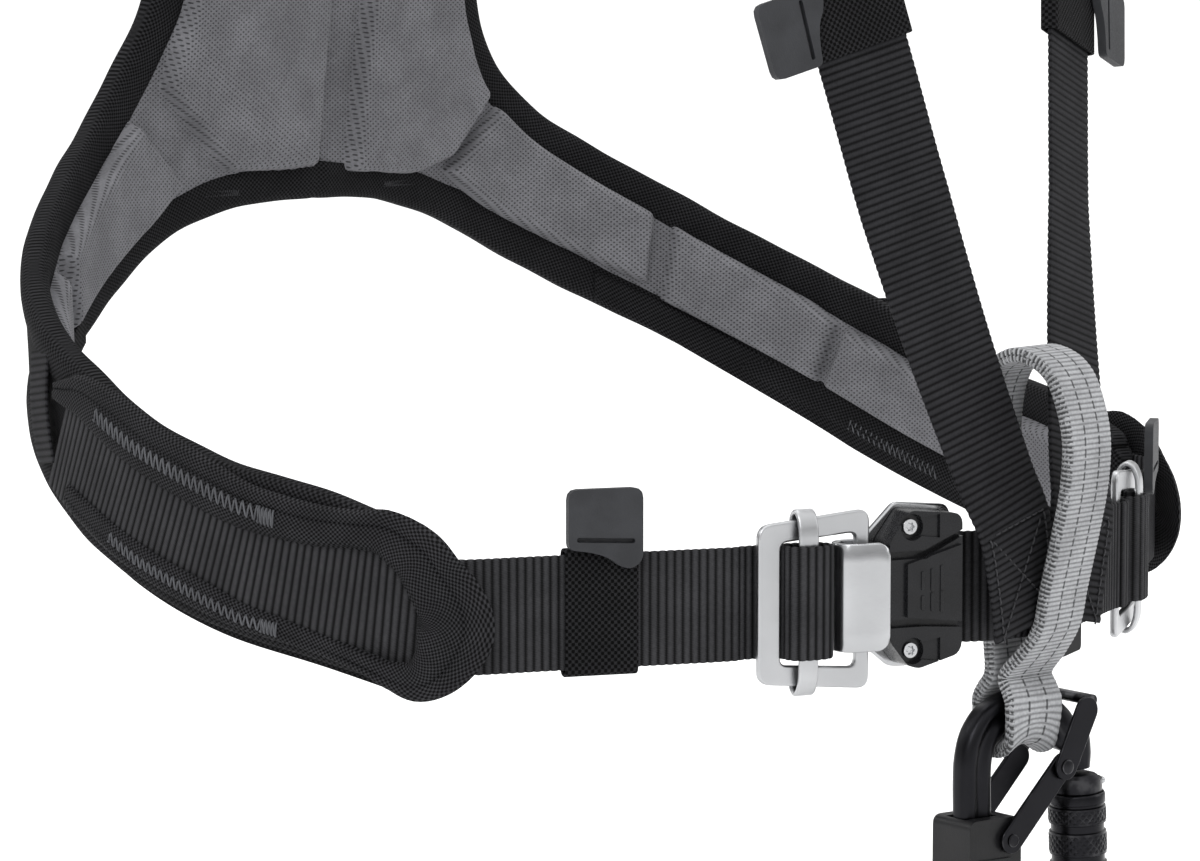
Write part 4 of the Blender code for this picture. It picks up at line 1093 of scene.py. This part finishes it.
def shoulder_place(side, origin):
    along, out = Vector(SHOULDER_ALONG), Vector(SHOULDER_OUT)
    along.x *= side
    out.x *= side
    return place_at((origin[0] * side, origin[1], origin[2]), along, out.cross(along))


def shoulder_depth(height):
    """How far forward the shoulder webbing lies at a height."""
    return SURFACE_Y + max(0, min(0.182 * (height - 24), 0.30 * (height - 46)))


def make_shoulder_strap(side, word, layer):
    """Shoulder webbing up to the adjuster, its sewn foot, and the webbing from there over the pad."""
    place = shoulder_place(side, SHOULDER_ADJUSTER)
    path = []
    for x, z in SHOULDER_RUN:
        y = shoulder_depth(z) - layer * (1 - min(max((z - 60) / 100, 0), 1))
        path.append(np.array([x * side, y, z]))
    through = to_world(place, [(a, d, 0.0) for a, d in THREAD])
    line = smooth_curve(path + through[1:], 10)
    rise = np.clip((line[:, 2] - 24) / 145, 0, 1)[:, None]
    out = unit(np.array([0.0, -1, 0.1]) * (1 - rise) + np.array(SHOULDER_OUT) * (side, 1, 1) * rise)
    across = np.cross(out, unit(np.array([0.23 * side, 0.17, 0.96])) * np.ones_like(line))
    strap = webbing(f"shoulder_webbing_{word}", line, across, WEB, WEB_T, 2.8, "shoulder")
    stands_for(strap, "harness", f"shoulder_strap_{word}")
    across = unit(across)
    foot = [k for k in range(len(line)) if line[k][2] < 46]
    box = []
    for a in (-17.5, 17.5):
        box += dashes(line[foot] + across[foot] * a + out[foot] * 1.25, out[foot], 3.0, 0.9)
    first, last = foot[1], foot[-1]
    for ends in ((first, -17.5, last, 17.5), (first, 17.5, last, -17.5), (last, -17.5, last, 17.5)):
        p = line[ends[0]] + across[ends[0]] * ends[1] + out[ends[0]] * 1.3
        q = line[ends[2]] + across[ends[2]] * ends[3] + out[ends[2]] * 1.3
        box += dashes(np.linspace(p, q, 20), np.tile(out[last], (20, 1)), 3.0, 0.9)
    stands_for(threads(f"box_stitch_{word}", box, 0.35, "black_thread"), "harness")

    grid, outward = yoke_grid(INSET, 3)
    stations = list(range(len(grid) - 1, len(grid) - 4 * STEPS - 1, -STEPS // 2))
    flip = np.array([side, 1, 1])
    over_pad = [(grid[k, 1] + outward[k, 1] * 8.0) * flip for k in stations]
    pad_across = [unit(grid[k, 0] - grid[k, 2]) * flip for k in stations]
    loop = loop_round_bar(place, 0.0, 1.2)
    z_local = np.array(place.to_3x3() @ Vector((0, 0, 1)))
    turns = [z_local] * len(loop) + [w * np.sign(np.dot(w, z_local)) for w in pad_across[1:]]
    strap = webbing(f"pad_webbing_{word}", smooth_curve(loop + over_pad[1:], 10), smooth_curve(turns, 10),
                    WEB, WEB_T, 2.8, "shoulder")
    stands_for(strap, "harness", f"pad_strap_{word}")


def make_keeper(name, place, flip):
    """Elastic ring and the rubber tab moulded on it: a grip, a slot and a wavy lip."""
    half, depth = WEB / 2 + 1.8, 3.0
    ring = rounded([(-half, -depth), (half, -depth), (half, depth), (-half, depth)], 2.6, 5)
    line = np.array([(0, d, z) for z, d in ring])
    dense, = resample(np.vstack([line, line[:1]]), 1.2)
    dense = dense[:-1]
    across = np.tile([1.0, 0, 0], (len(dense), 1))
    out = np.cross(around_loop(dense), across)
    turn = np.array(place.to_3x3())
    section = flat_section(29.0, 1.3, 0.6, 14)
    elastic = sweep(f"{name}_knit", placed(place, dense), across @ turn.T, out @ turn.T, section,
                    "elastic", closed=True, sharp=60)
    stands_for(elastic, name, f"{name}_elastic")
    lip = [(14.8, 20), (14.8, 47.2), (-14.8, 47.2), (-14.8, 24.6), (-6, 23.4), (1, 21.2), (5.5, 17.6),
           (10.5, 16.4)]
    outline = [(x, z * flip) for x, z in rounded(lip, [2.4, 4.0, 4.0, 2.4, 4, 4, 3, 3], 3)]
    slot = rounded([(-11.5, 27.4), (11.5, 26.2), (11.5, 28.0), (-11.5, 29.2)], 0.8, 3)
    cut = solid_plate([(x, z * flip) for x, z in slot], depth + 2.8, 9, place)
    tab = plate(f"{name}_rubber", outline, depth + 1.2, depth + 4.9, "rubber", place, 1.2, cuts=[cut])
    stands_for(tab, name, f"{name}_tab")


# ---- arches at the wings' front ends, and the rear bands ----------------------------------------------
# the tape sewn over the webbing's edges, from the upper row's rear end round the arch at the wing's front
# and back along the lower row: (run, height over the webbing's middle, width) in the two rows, and
# (run, height, width, depth) round the arch
TAPE_UPPER = [(292, 20, 7), (301, 24, 11), (312, 28.5, 16), (331, 30, 20), (354, 28.5, 19), (376, 27.2, 18),
              (395, 26, 16), (411, 25.5, 15), (428, 26.2, 14)]
TAPE_ARCH = [(445, 51.5, 13, 8.6), (457, 50.5, 16, 9.6), (469, 43.5, 19.5, 11.6), (477, 33.5, 21.5, 13.6),
             (482.5, 25, 24.5, 14.6), (484, 16.5, 26.5, 15.0), (481.5, 8.5, 24, 14.6), (476, 0.5, 19, 13.2),
             (468, -4, 14, 11.6), (458, -2.5, 9.5, 10.2), (446, 2.0, 7.5, 9.2)]
TAPE_LOWER = [(428, -19.0, 7), (411, -17.6, 8), (395, -17.2, 9), (376, -17, 10.5), (354, -17, 10.5),
              (331, -17, 10), (312, -17, 9), (298, -17, 7)]


def make_wing_tapes():
    """One padded tape over both edges of the webbing, turned round at the front as an open arch."""
    rows = [(r, web_height(r) + z, w, 8.2, 1.0) for r, z, w in TAPE_UPPER]
    rows += [(*row, 1.15 if row[1] > 0 else 0.8) for row in TAPE_ARCH]
    rows += [(r, web_height(r) + z, w, 7.7, 0.4) for r, z, w in TAPE_LOWER]
    dense, = resample(smooth_curve([row[:2] + (0,) for row in rows], 12), 1.6)
    known = smooth_curve(rows, 12)
    nearest = np.argmin(np.linalg.norm(dense[:, None, :2] - known[None, :, :2], axis=2), axis=1)
    widths, depths, heaviness = known[nearest, 2], known[nearest, 3], known[nearest, 4]
    fold = [(-0.5, -1.2), (-0.5, 0.6), (-0.46, 1.5), (-0.3, 1.9), (-0.2, 1.5), (-0.15, 1.0), (-0.1, 1.7),
            (0.12, 2.1), (0.36, 2.0), (0.47, 1.3), (0.5, 0.3), (0.5, -1.2)]
    section = smooth_curve(fold, 3, closed=True)
    pucker = 1 + 0.06 * np.sin(run_along(dense) / 4.1) + 0.05 * np.sin(run_along(dense) / 7.3 + 1)
    sections = scaled(section, widths, pucker * heaviness)
    for side, word in ((1, "left"), (-1, "right")):
        path = np.array([on_wall(r, z, side, d) for (r, z, _), d in zip(dense, depths)])
        out = np.array([wall_direction(r, side) for r in dense[:, 0]])
        along = unit(np.gradient(path, axis=0))
        across = unit(np.cross(out, along)) * side
        out = unit(out - along * (out * along).sum(1)[:, None])
        tape = sweep(f"wing_tape_{word}", path, across, out, sections, "arch", sharp=60)
        stands_for(tape, "harness", f"wing_arch_{word}")

        runs = np.linspace(170, 466, 150)
        lower = np.interp(runs, (170, 300, 452, 466), (8.5, 5.5, 5.5, 8.0))
        path = np.array([on_wall(r, hem_height(r) + z, side, -6.3) for r, z in zip(runs, lower)])
        out = np.array([wall_direction(r, side) for r in runs])
        widths = np.interp(runs, (170, 300, 452, 466), (13, 21, 19, 8))
        flat = scaled(flat_section(1.0, 1.8, 0.03), widths, np.ones(150))
        band = sweep(f"hem_tape_{word}", path, np.tile([0, 0, 1.0], (150, 1)), out, flat, "binding",
                     sharp=60)
        stands_for(band, "harness")


def make_rear_bands():
    """The ribbed sleeve behind the slot where the chest webbing enters the wing."""
    for side, word in ((1, "left"), (-1, "right")):
        heights = np.linspace(64, 109, 24)
        runs = np.interp(heights, (64, 109), (277, 271))
        crown = np.sin(math.pi * (heights - 64) / 45)
        middle = np.array([on_wall(r, z, side, 6.0 + 1.8 * c) for r, z, c in zip(runs, heights, crown)])
        flat = unit(on_wall(280, 0, side) - on_wall(266, 0, side))
        band = webbing(f"rear_band_{word}", middle, np.tile(flat, (24, 1)), 21.0, 1.6, 2.0, "shoulder")
        stands_for(band, "harness")


# ---- tie-in loop and label ----------------------------------------------------------------------------
CARABINER_Y, CARABINER_YAW, SWING_Z = -220.0, math.radians(-13.0), -60.0
LOOP_LINE = [(-232, 109), (-241, 104.5), (-247, 96), (-252, 79), (-251.5, 60), (-247.5, 40),
             (-242.2, 18), (-238.9, 3), (-232.2, -8), (-224.4, -17.5), (-227.4, -24), (-229.9, -28.6),
             (-229.6, -35.5), (-227.2, -41.4), (-220, -43.8), (-212.8, -41.4), (-210.4, -35.5),
             (-210.1, -28.6), (-212.6, -24), (-216.6, -17.5), (-215.5, -6), (-213.5, 6),
             (-211.5, 30), (-209.5, 60), (-209.5, 86), (-214, 102), (-223, 109)]


def bend_to_carabiner(points):
    """Turns the loop's lower end to face the carabiner, and sags its edges over the round bar."""
    out = []
    for x, y, z in points:
        twist = CARABINER_YAW * min(max(-z / 30, 0), 1)
        eye = min(max((-30 - z) / 10, 0), 1)
        f = x / 13.5
        x *= 1 - 0.1 * eye
        away = y - CARABINER_Y
        out.append((x * math.cos(twist) - away * math.sin(twist),
                    CARABINER_Y + x * math.sin(twist) + away * math.cos(twist), z - 5.4 * f * f * eye))
    return np.array(out)


def make_loop():
    """The grey loop that holds the carabiner, with its thick ribbed edges."""
    line = smooth_curve([(0, y, z) for y, z in LOOP_LINE], 8, closed=True)
    line, = resample(np.vstack([line, line[:1]]), 0.55)
    line = line[:-1]
    across = np.tile([1.0, 0, 0], (len(line), 1))
    out = np.cross(around_loop(line), across)
    half = [(-13.5, 0.5), (-13.3, 2.0), (-12.6, 2.8)]
    half += [(a, 2.85) for a in np.linspace(-11, 11, 12)]
    half += [(12.6, 2.8), (13.3, 2.0), (13.5, 0.5), (12.9, 0.0)]
    section = np.array(half + [(-a, -b) for a, b in half])
    rib = np.abs(np.sin(math.pi * run_along(line) / 1.9)) ** 0.7
    sections = scaled(section, 0.985 + 0.015 * rib, 0.93 + 0.07 * rib)
    loop = sweep("tie_in_webbing", line, across, out, sections, "grey", closed=True, sharp=55)
    points = np.empty(len(loop.data.vertices) * 3)
    loop.data.vertices.foreach_get("co", points)
    points = bend_to_carabiner(points.reshape(-1, 3) / MM) * MM
    loop.data.vertices.foreach_set("co", points.ravel())
    loop.data.update()
    stands_for(loop, "harness", "tie_in_loop")


def make_label():
    place = place_at((34.0, -224.9, 0.0), (0.953, 0.303, 0), (0, 0, 1))
    label = plate("blank_label", rounded([(-12, -14), (12, -14), (12, 5), (-12, 5)], 2.5), -3.2, -2.2,
                  "label", place, 0.3)
    stands_for(label, "harness", "sewn_tag")


# ---- carabiner ------------------------------------------------------------------------------------------
BOW_R = 28.0
GATE_HINGE, GATE_TOP = (34.5, -61.0), (31.6, -0.8)


def carabiner_place():
    return Matrix.Translation(Vector((0, CARABINER_Y, SWING_Z)) * MM) @ Matrix.Rotation(CARABINER_YAW, 4, "Z")


def gate_place():
    lean = math.atan2(GATE_TOP[0] - GATE_HINGE[0], GATE_TOP[1] - GATE_HINGE[1])
    at = Matrix.Translation(Vector((GATE_HINGE[0], 0, GATE_HINGE[1])) * MM)
    return carabiner_place() @ at @ Matrix.Rotation(lean, 4, "Y")


def make_carabiner_frame():
    """The hooked bar: grooved along the spine and bow, and narrower at the nose and the hinge."""
    path = [(32.0, 0.6), (31.2, 7.5), (28.6, 13.6)]
    path += [(BOW_R * math.cos(math.radians(a)), BOW_R * math.sin(math.radians(a)))
             for a in range(36, 127, 9)]
    path += [(-20.7, 16.8), (-22.8, 9.0), (-23.2, 0), (-23, -12), (-23, -32), (-23, -52), (-21, -63),
             (-15.5, -70.5), (-6, -74.5), (5, -74.5), (14, -73.5), (20, -71.6), (27, -67.6), (33.5, -62.2),
             (36, -60)]
    line = smooth_curve([(u, 0, z) for u, z in path], 8)
    run = run_along(line)
    along = unit(np.gradient(line, axis=0))
    depth = np.tile([0, -1.0, 0], (len(line), 1))
    radial = np.cross(depth, along)
    band = np.interp(run, [0, 7, 16, run[-1] - 34, run[-1] - 20, run[-1]], [9, 11.5, 15, 15, 10.5, 9.5])
    thick = np.interp(run, [0, run[-1] - 17, run[-1] - 13, run[-1]], [11, 11, 4.6, 4.6])
    groove = np.interp(run, [0, 12, 26, run[-1] - 60, run[-1] - 44, run[-1]], [0, 0, 1, 1, 0, 0])
    sections = []
    for w, t, g in zip(band, thick, groove):
        a, b = w / 2, t / 2
        soft = min(4.2, b * 0.85)
        corner = [(a - soft + soft * math.cos(math.radians(q)), b - soft + soft * math.sin(math.radians(q)))
                  for q in range(0, 91, 15)]
        flat = a - soft
        upper = corner + [(flat * 0.75, b - 0.25 * g), (flat * 0.45, b - 0.9 * g), (0.0, b - 1.2 * g)]
        upper += [(-p, q) for p, q in upper[-2::-1]]
        sections.append(upper + [(-p, -q) for p, q in upper])
    bar = sweep("carabiner_bar", line, radial, depth, np.array(sections), "anodised", sharp=50)
    bar.data.transform(carabiner_place())
    stands_for(bar, "carabiner", "carabiner_frame")


KNURL_R = 11.3              # the knurls are cut outside this radius
BALL_R = 1.5                # the catch ball on the gate's head


def make_gate():
    """The gate with its catch ball, and the locking sleeve with its knurled bands."""
    place = gate_place()
    length = math.dist(GATE_HINGE, GATE_TOP)
    head = length - 9.2
    gate = lathe("gate_body", [(0, length), (7.5, length), (9.4, length - 0.6), (10.4, length - 2),
                               (10.4, head + 1), (9.8, head), (6.0, head), (6.0, 2), (5.4, -3.4), (3, -5.4),
                               (0, -5.5)], place, "anodised")
    notch = solid_plate([(-12, -12), (12, -12), (12, 8.5), (-12, 8.5)], -2.8, 2.8, place)
    step = solid_plate([(3.5, length - 3), (12, length - 3), (12, length + 3), (3.5, length + 3)],
                       -12, 12, place)
    tools = add_booleans(gate, "DIFFERENCE", (notch, step), "anodised")
    bake(gate)
    remove(tools)
    gate.data.set_sharp_from_angle(angle=math.radians(35))
    stands_for(gate, "gate", "gate")
    at = Matrix.Translation(Vector((8.9, -5.3, length - 4.4)) * MM)
    ball = [(BALL_R * math.sin(math.radians(t)), BALL_R * math.cos(math.radians(t)))
            for t in range(0, 181, 15)]
    ball[0], ball[-1] = (0, BALL_R), (0, -BALL_R)
    stands_for(lathe("gate_ball", ball, place @ at, "steel", 24), "gate", "gate_rivet")
    pin_turn = place @ Matrix.Rotation(math.pi / 2, 4, "X")
    pin = lathe("gate_pin_metal", [(0, 5.2), (1.6, 5.2), (2.0, 4.8), (2.0, -4.8), (1.6, -5.2), (0, -5.2)],
                pin_turn, "steel", 32)
    stands_for(pin, "carabiner", "gate_pin")

    top = length - 8.2
    low = top - 41.0
    outer = [(10.85, top), (11.2, top - 0.5), (11.5, top - 1.2), (11.5, top - 4.2), (10.7, top - 4.6),
             (10.7, top - 5.4), (11.5, top - 5.8), (11.5, top - 12.4), (10.7, top - 12.8), (10.7, top - 15.6),
             (11.5, top - 16), (11.5, top - 25), (10.7, top - 25.4), (10.7, top - 28.2), (11.5, top - 28.6),
             (11.5, low + 1.4), (10.9, low + 0.3), (10.2, low)]
    inner = [(9.0, low), (9.0, low + 16), (6.7, low + 16), (6.7, head - 2.5), (10.8, head - 2.5),
             (10.85, top)]
    sleeve = lathe("sleeve_body", outer + inner, place, "anodised", 72)
    stands_for(sleeve, "locking_sleeve", "locking_sleeve")
    for k, (first, last) in enumerate(((top - 6.3, top - 11.9), (top - 16.6, top - 24.4),
                                       (top - 29.2, low + 2.0))):
        rows = np.linspace(first, last, int((first - last) / 0.4) + 1)
        profile = [(11.2, first)] + [(11.45, h) for h in rows[1:-1]] + [(11.2, last)]
        ring = lathe(f"sleeve_knurl_{k}", profile, Matrix(), "anodised", 180)
        for vertex in ring.data.vertices:
            x, y, z = vertex.co / MM
            angle = math.atan2(y, x)
            if math.hypot(x, y) > KNURL_R:
                cut = min(abs(math.sin(12 * angle + z * 1.05)), abs(math.sin(12 * angle - z * 1.05)))
                vertex.co.xy *= 1 + 0.09 * (min(cut, 0.5) - 0.25)
        ring.data.transform(place)
        ring.data.update()
        stands_for(ring, "locking_sleeve")
    bush = lathe("sleeve_bush_ring", [(8.7, low + 12), (8.7, low + 2), (6.25, low + 2), (6.25, low + 12),
                                      (8.7, low + 12)], place, "plastic", 48)
    stands_for(bush, "sleeve_bush", "sleeve_bush")


ARM_FOOT, ARM_ELBOW, CLIP_END = (-13.5, -22.0), (12.5, 5.0), (23.0, 26.5)


def cheek_outline(start, end, start_r, end_r):
    """A link's outline: two round ends and the straight sides between them."""
    lean = math.atan2(end[1] - start[1], end[0] - start[0])
    outline = []
    for (u, z), r, first in ((start, start_r, 90), (end, end_r, -90)):
        outline += [(u + r * math.cos(lean + math.radians(first + a)),
                     z + r * math.sin(lean + math.radians(first + a))) for a in range(0, 181, 15)]
    return outline


def make_positioning_bar():
    """The housing on the spine, the arm on it, and the clip that closes over the loop."""
    place = carabiner_place()
    shell = rounded([(-33.5, -48), (-7, -48), (-7, -13), (-33.5, -13)], 4, 5)
    bore = solid_plate([(-31, -60), (-15.1, -60), (-15.1, 0), (-31, 0)], -6, 6, place)
    raised = rounded([(-30.5, -44), (-11, -44), (-11, -29), (-30.5, -29)], 2.5)
    panels = [solid_plate(raised, d, d + 1.2, place) for d in (11.0, -12.2)]
    housing = plate("housing_shell", shell, -11.4, 11.4, "plastic", place, 1.3, [bore], panels)
    stands_for(housing, "carabiner", "bar_housing")
    pieces = []
    arm = cheek_outline(ARM_FOOT, ARM_ELBOW, 5.4, 5.2)
    clip = cheek_outline(ARM_ELBOW, CLIP_END, 5.4, 5.6)
    for name, outline, inner, outer, body in (("arm_cheek", arm, 12.1, 14.1, "bar_arm"),
                                              ("clip_cheek", clip, 14.6, 16.4, "bar_clip")):
        for k, (low, high) in enumerate(((inner, outer), (-outer, -inner))):
            cheek = plate(f"{name}_{k}", outline, low, high, "anodised", place, 0.6)
            pieces.append((cheek, body))
    for name, centre, radius, low, high, body in (
            ("foot_rivet", ARM_FOOT, 2.6, 14.0, 14.9, "bar_arm"),
            ("elbow_rivet", ARM_ELBOW, 2.9, 16.2, 17.2, "bar_clip")):
        for k, sign in enumerate((1, -1)):
            turn = place @ Matrix.Translation(Vector((centre[0], 0, centre[1])) * MM)
            turn = turn @ Matrix.Rotation(sign * math.pi / 2, 4, "X")
            profile = [(0, high), (radius * 0.8, high), (radius, high - 0.3), (radius, low), (0, low)]
            rivet = lathe(f"{name}_{k}", profile, turn, "anodised", 32)
            pieces.append((rivet, body))
    reach = 40.2 / math.hypot(*CLIP_END)
    end = (CLIP_END[0] * reach, CLIP_END[1] * reach)
    bridge = from_bmesh("clip_bridge_bar", cylinder((end[0], -15.5, end[1]), (end[0], 15.5, end[1]), 2.3,
                                                    place, 24), "anodised")
    bridge.data.shade_smooth()
    bridge.data.set_sharp_from_angle(angle=0.7)
    pieces.append((bridge, "bar_clip"))
    pin = from_bmesh("foot_pin_bar", cylinder((ARM_FOOT[0], -13, ARM_FOOT[1]), (ARM_FOOT[0], 13, ARM_FOOT[1]),
                                              1.1, place, 24), "anodised")
    pieces.append((pin, "bar_arm"))
    for piece, body in pieces:
        stands_for(piece, body, body)


# ---- build ------------------------------------------------------------------------------------------------
KEEPER_AT = {"left": 0.80, "right": 0.51}   # place of a chest keeper along the webbing's free run
KEEPER_X, KEEPER_Z = 71.0, 243.5            # place of a shoulder keeper

make_yoke()
make_bindings()
make_seams()
make_wing_tapes()
make_rear_bands()
for hand, title in ((1, "left"), (-1, "right")):
    make_chest_strap(hand, title)
    make_frame(f"chest_frame_{title}", chest_place(hand))
    make_slider(f"chest_slider_{title}", chest_place(hand), f"chest_slider_{title}")
    make_shoulder_strap(hand, title, 2.8 if hand > 0 else 5.2)
    shoulder = shoulder_place(hand, SHOULDER_ADJUSTER)
    make_frame(f"shoulder_frame_{title}", shoulder)
    make_slider(f"shoulder_slider_{title}", shoulder, f"shoulder_slider_{title}")
    start, end = free_run(hand)
    spot = start + (end - start) * KEEPER_AT[title]
    make_keeper(f"chest_keeper_{title}", place_at(spot, end - start, (0, 0, -hand)), -hand)
    spot = (KEEPER_X, shoulder_depth(KEEPER_Z), KEEPER_Z)
    make_keeper(f"shoulder_keeper_{title}", shoulder_place(hand, spot), -hand)
buckle = chest_place(-1)
make_hook(buckle)
make_cover(buckle)
make_screws(buckle)
make_levers(buckle)
make_sternal_strap()
make_loop()
make_label()
make_carabiner_frame()
make_gate()
make_positioning_bar()
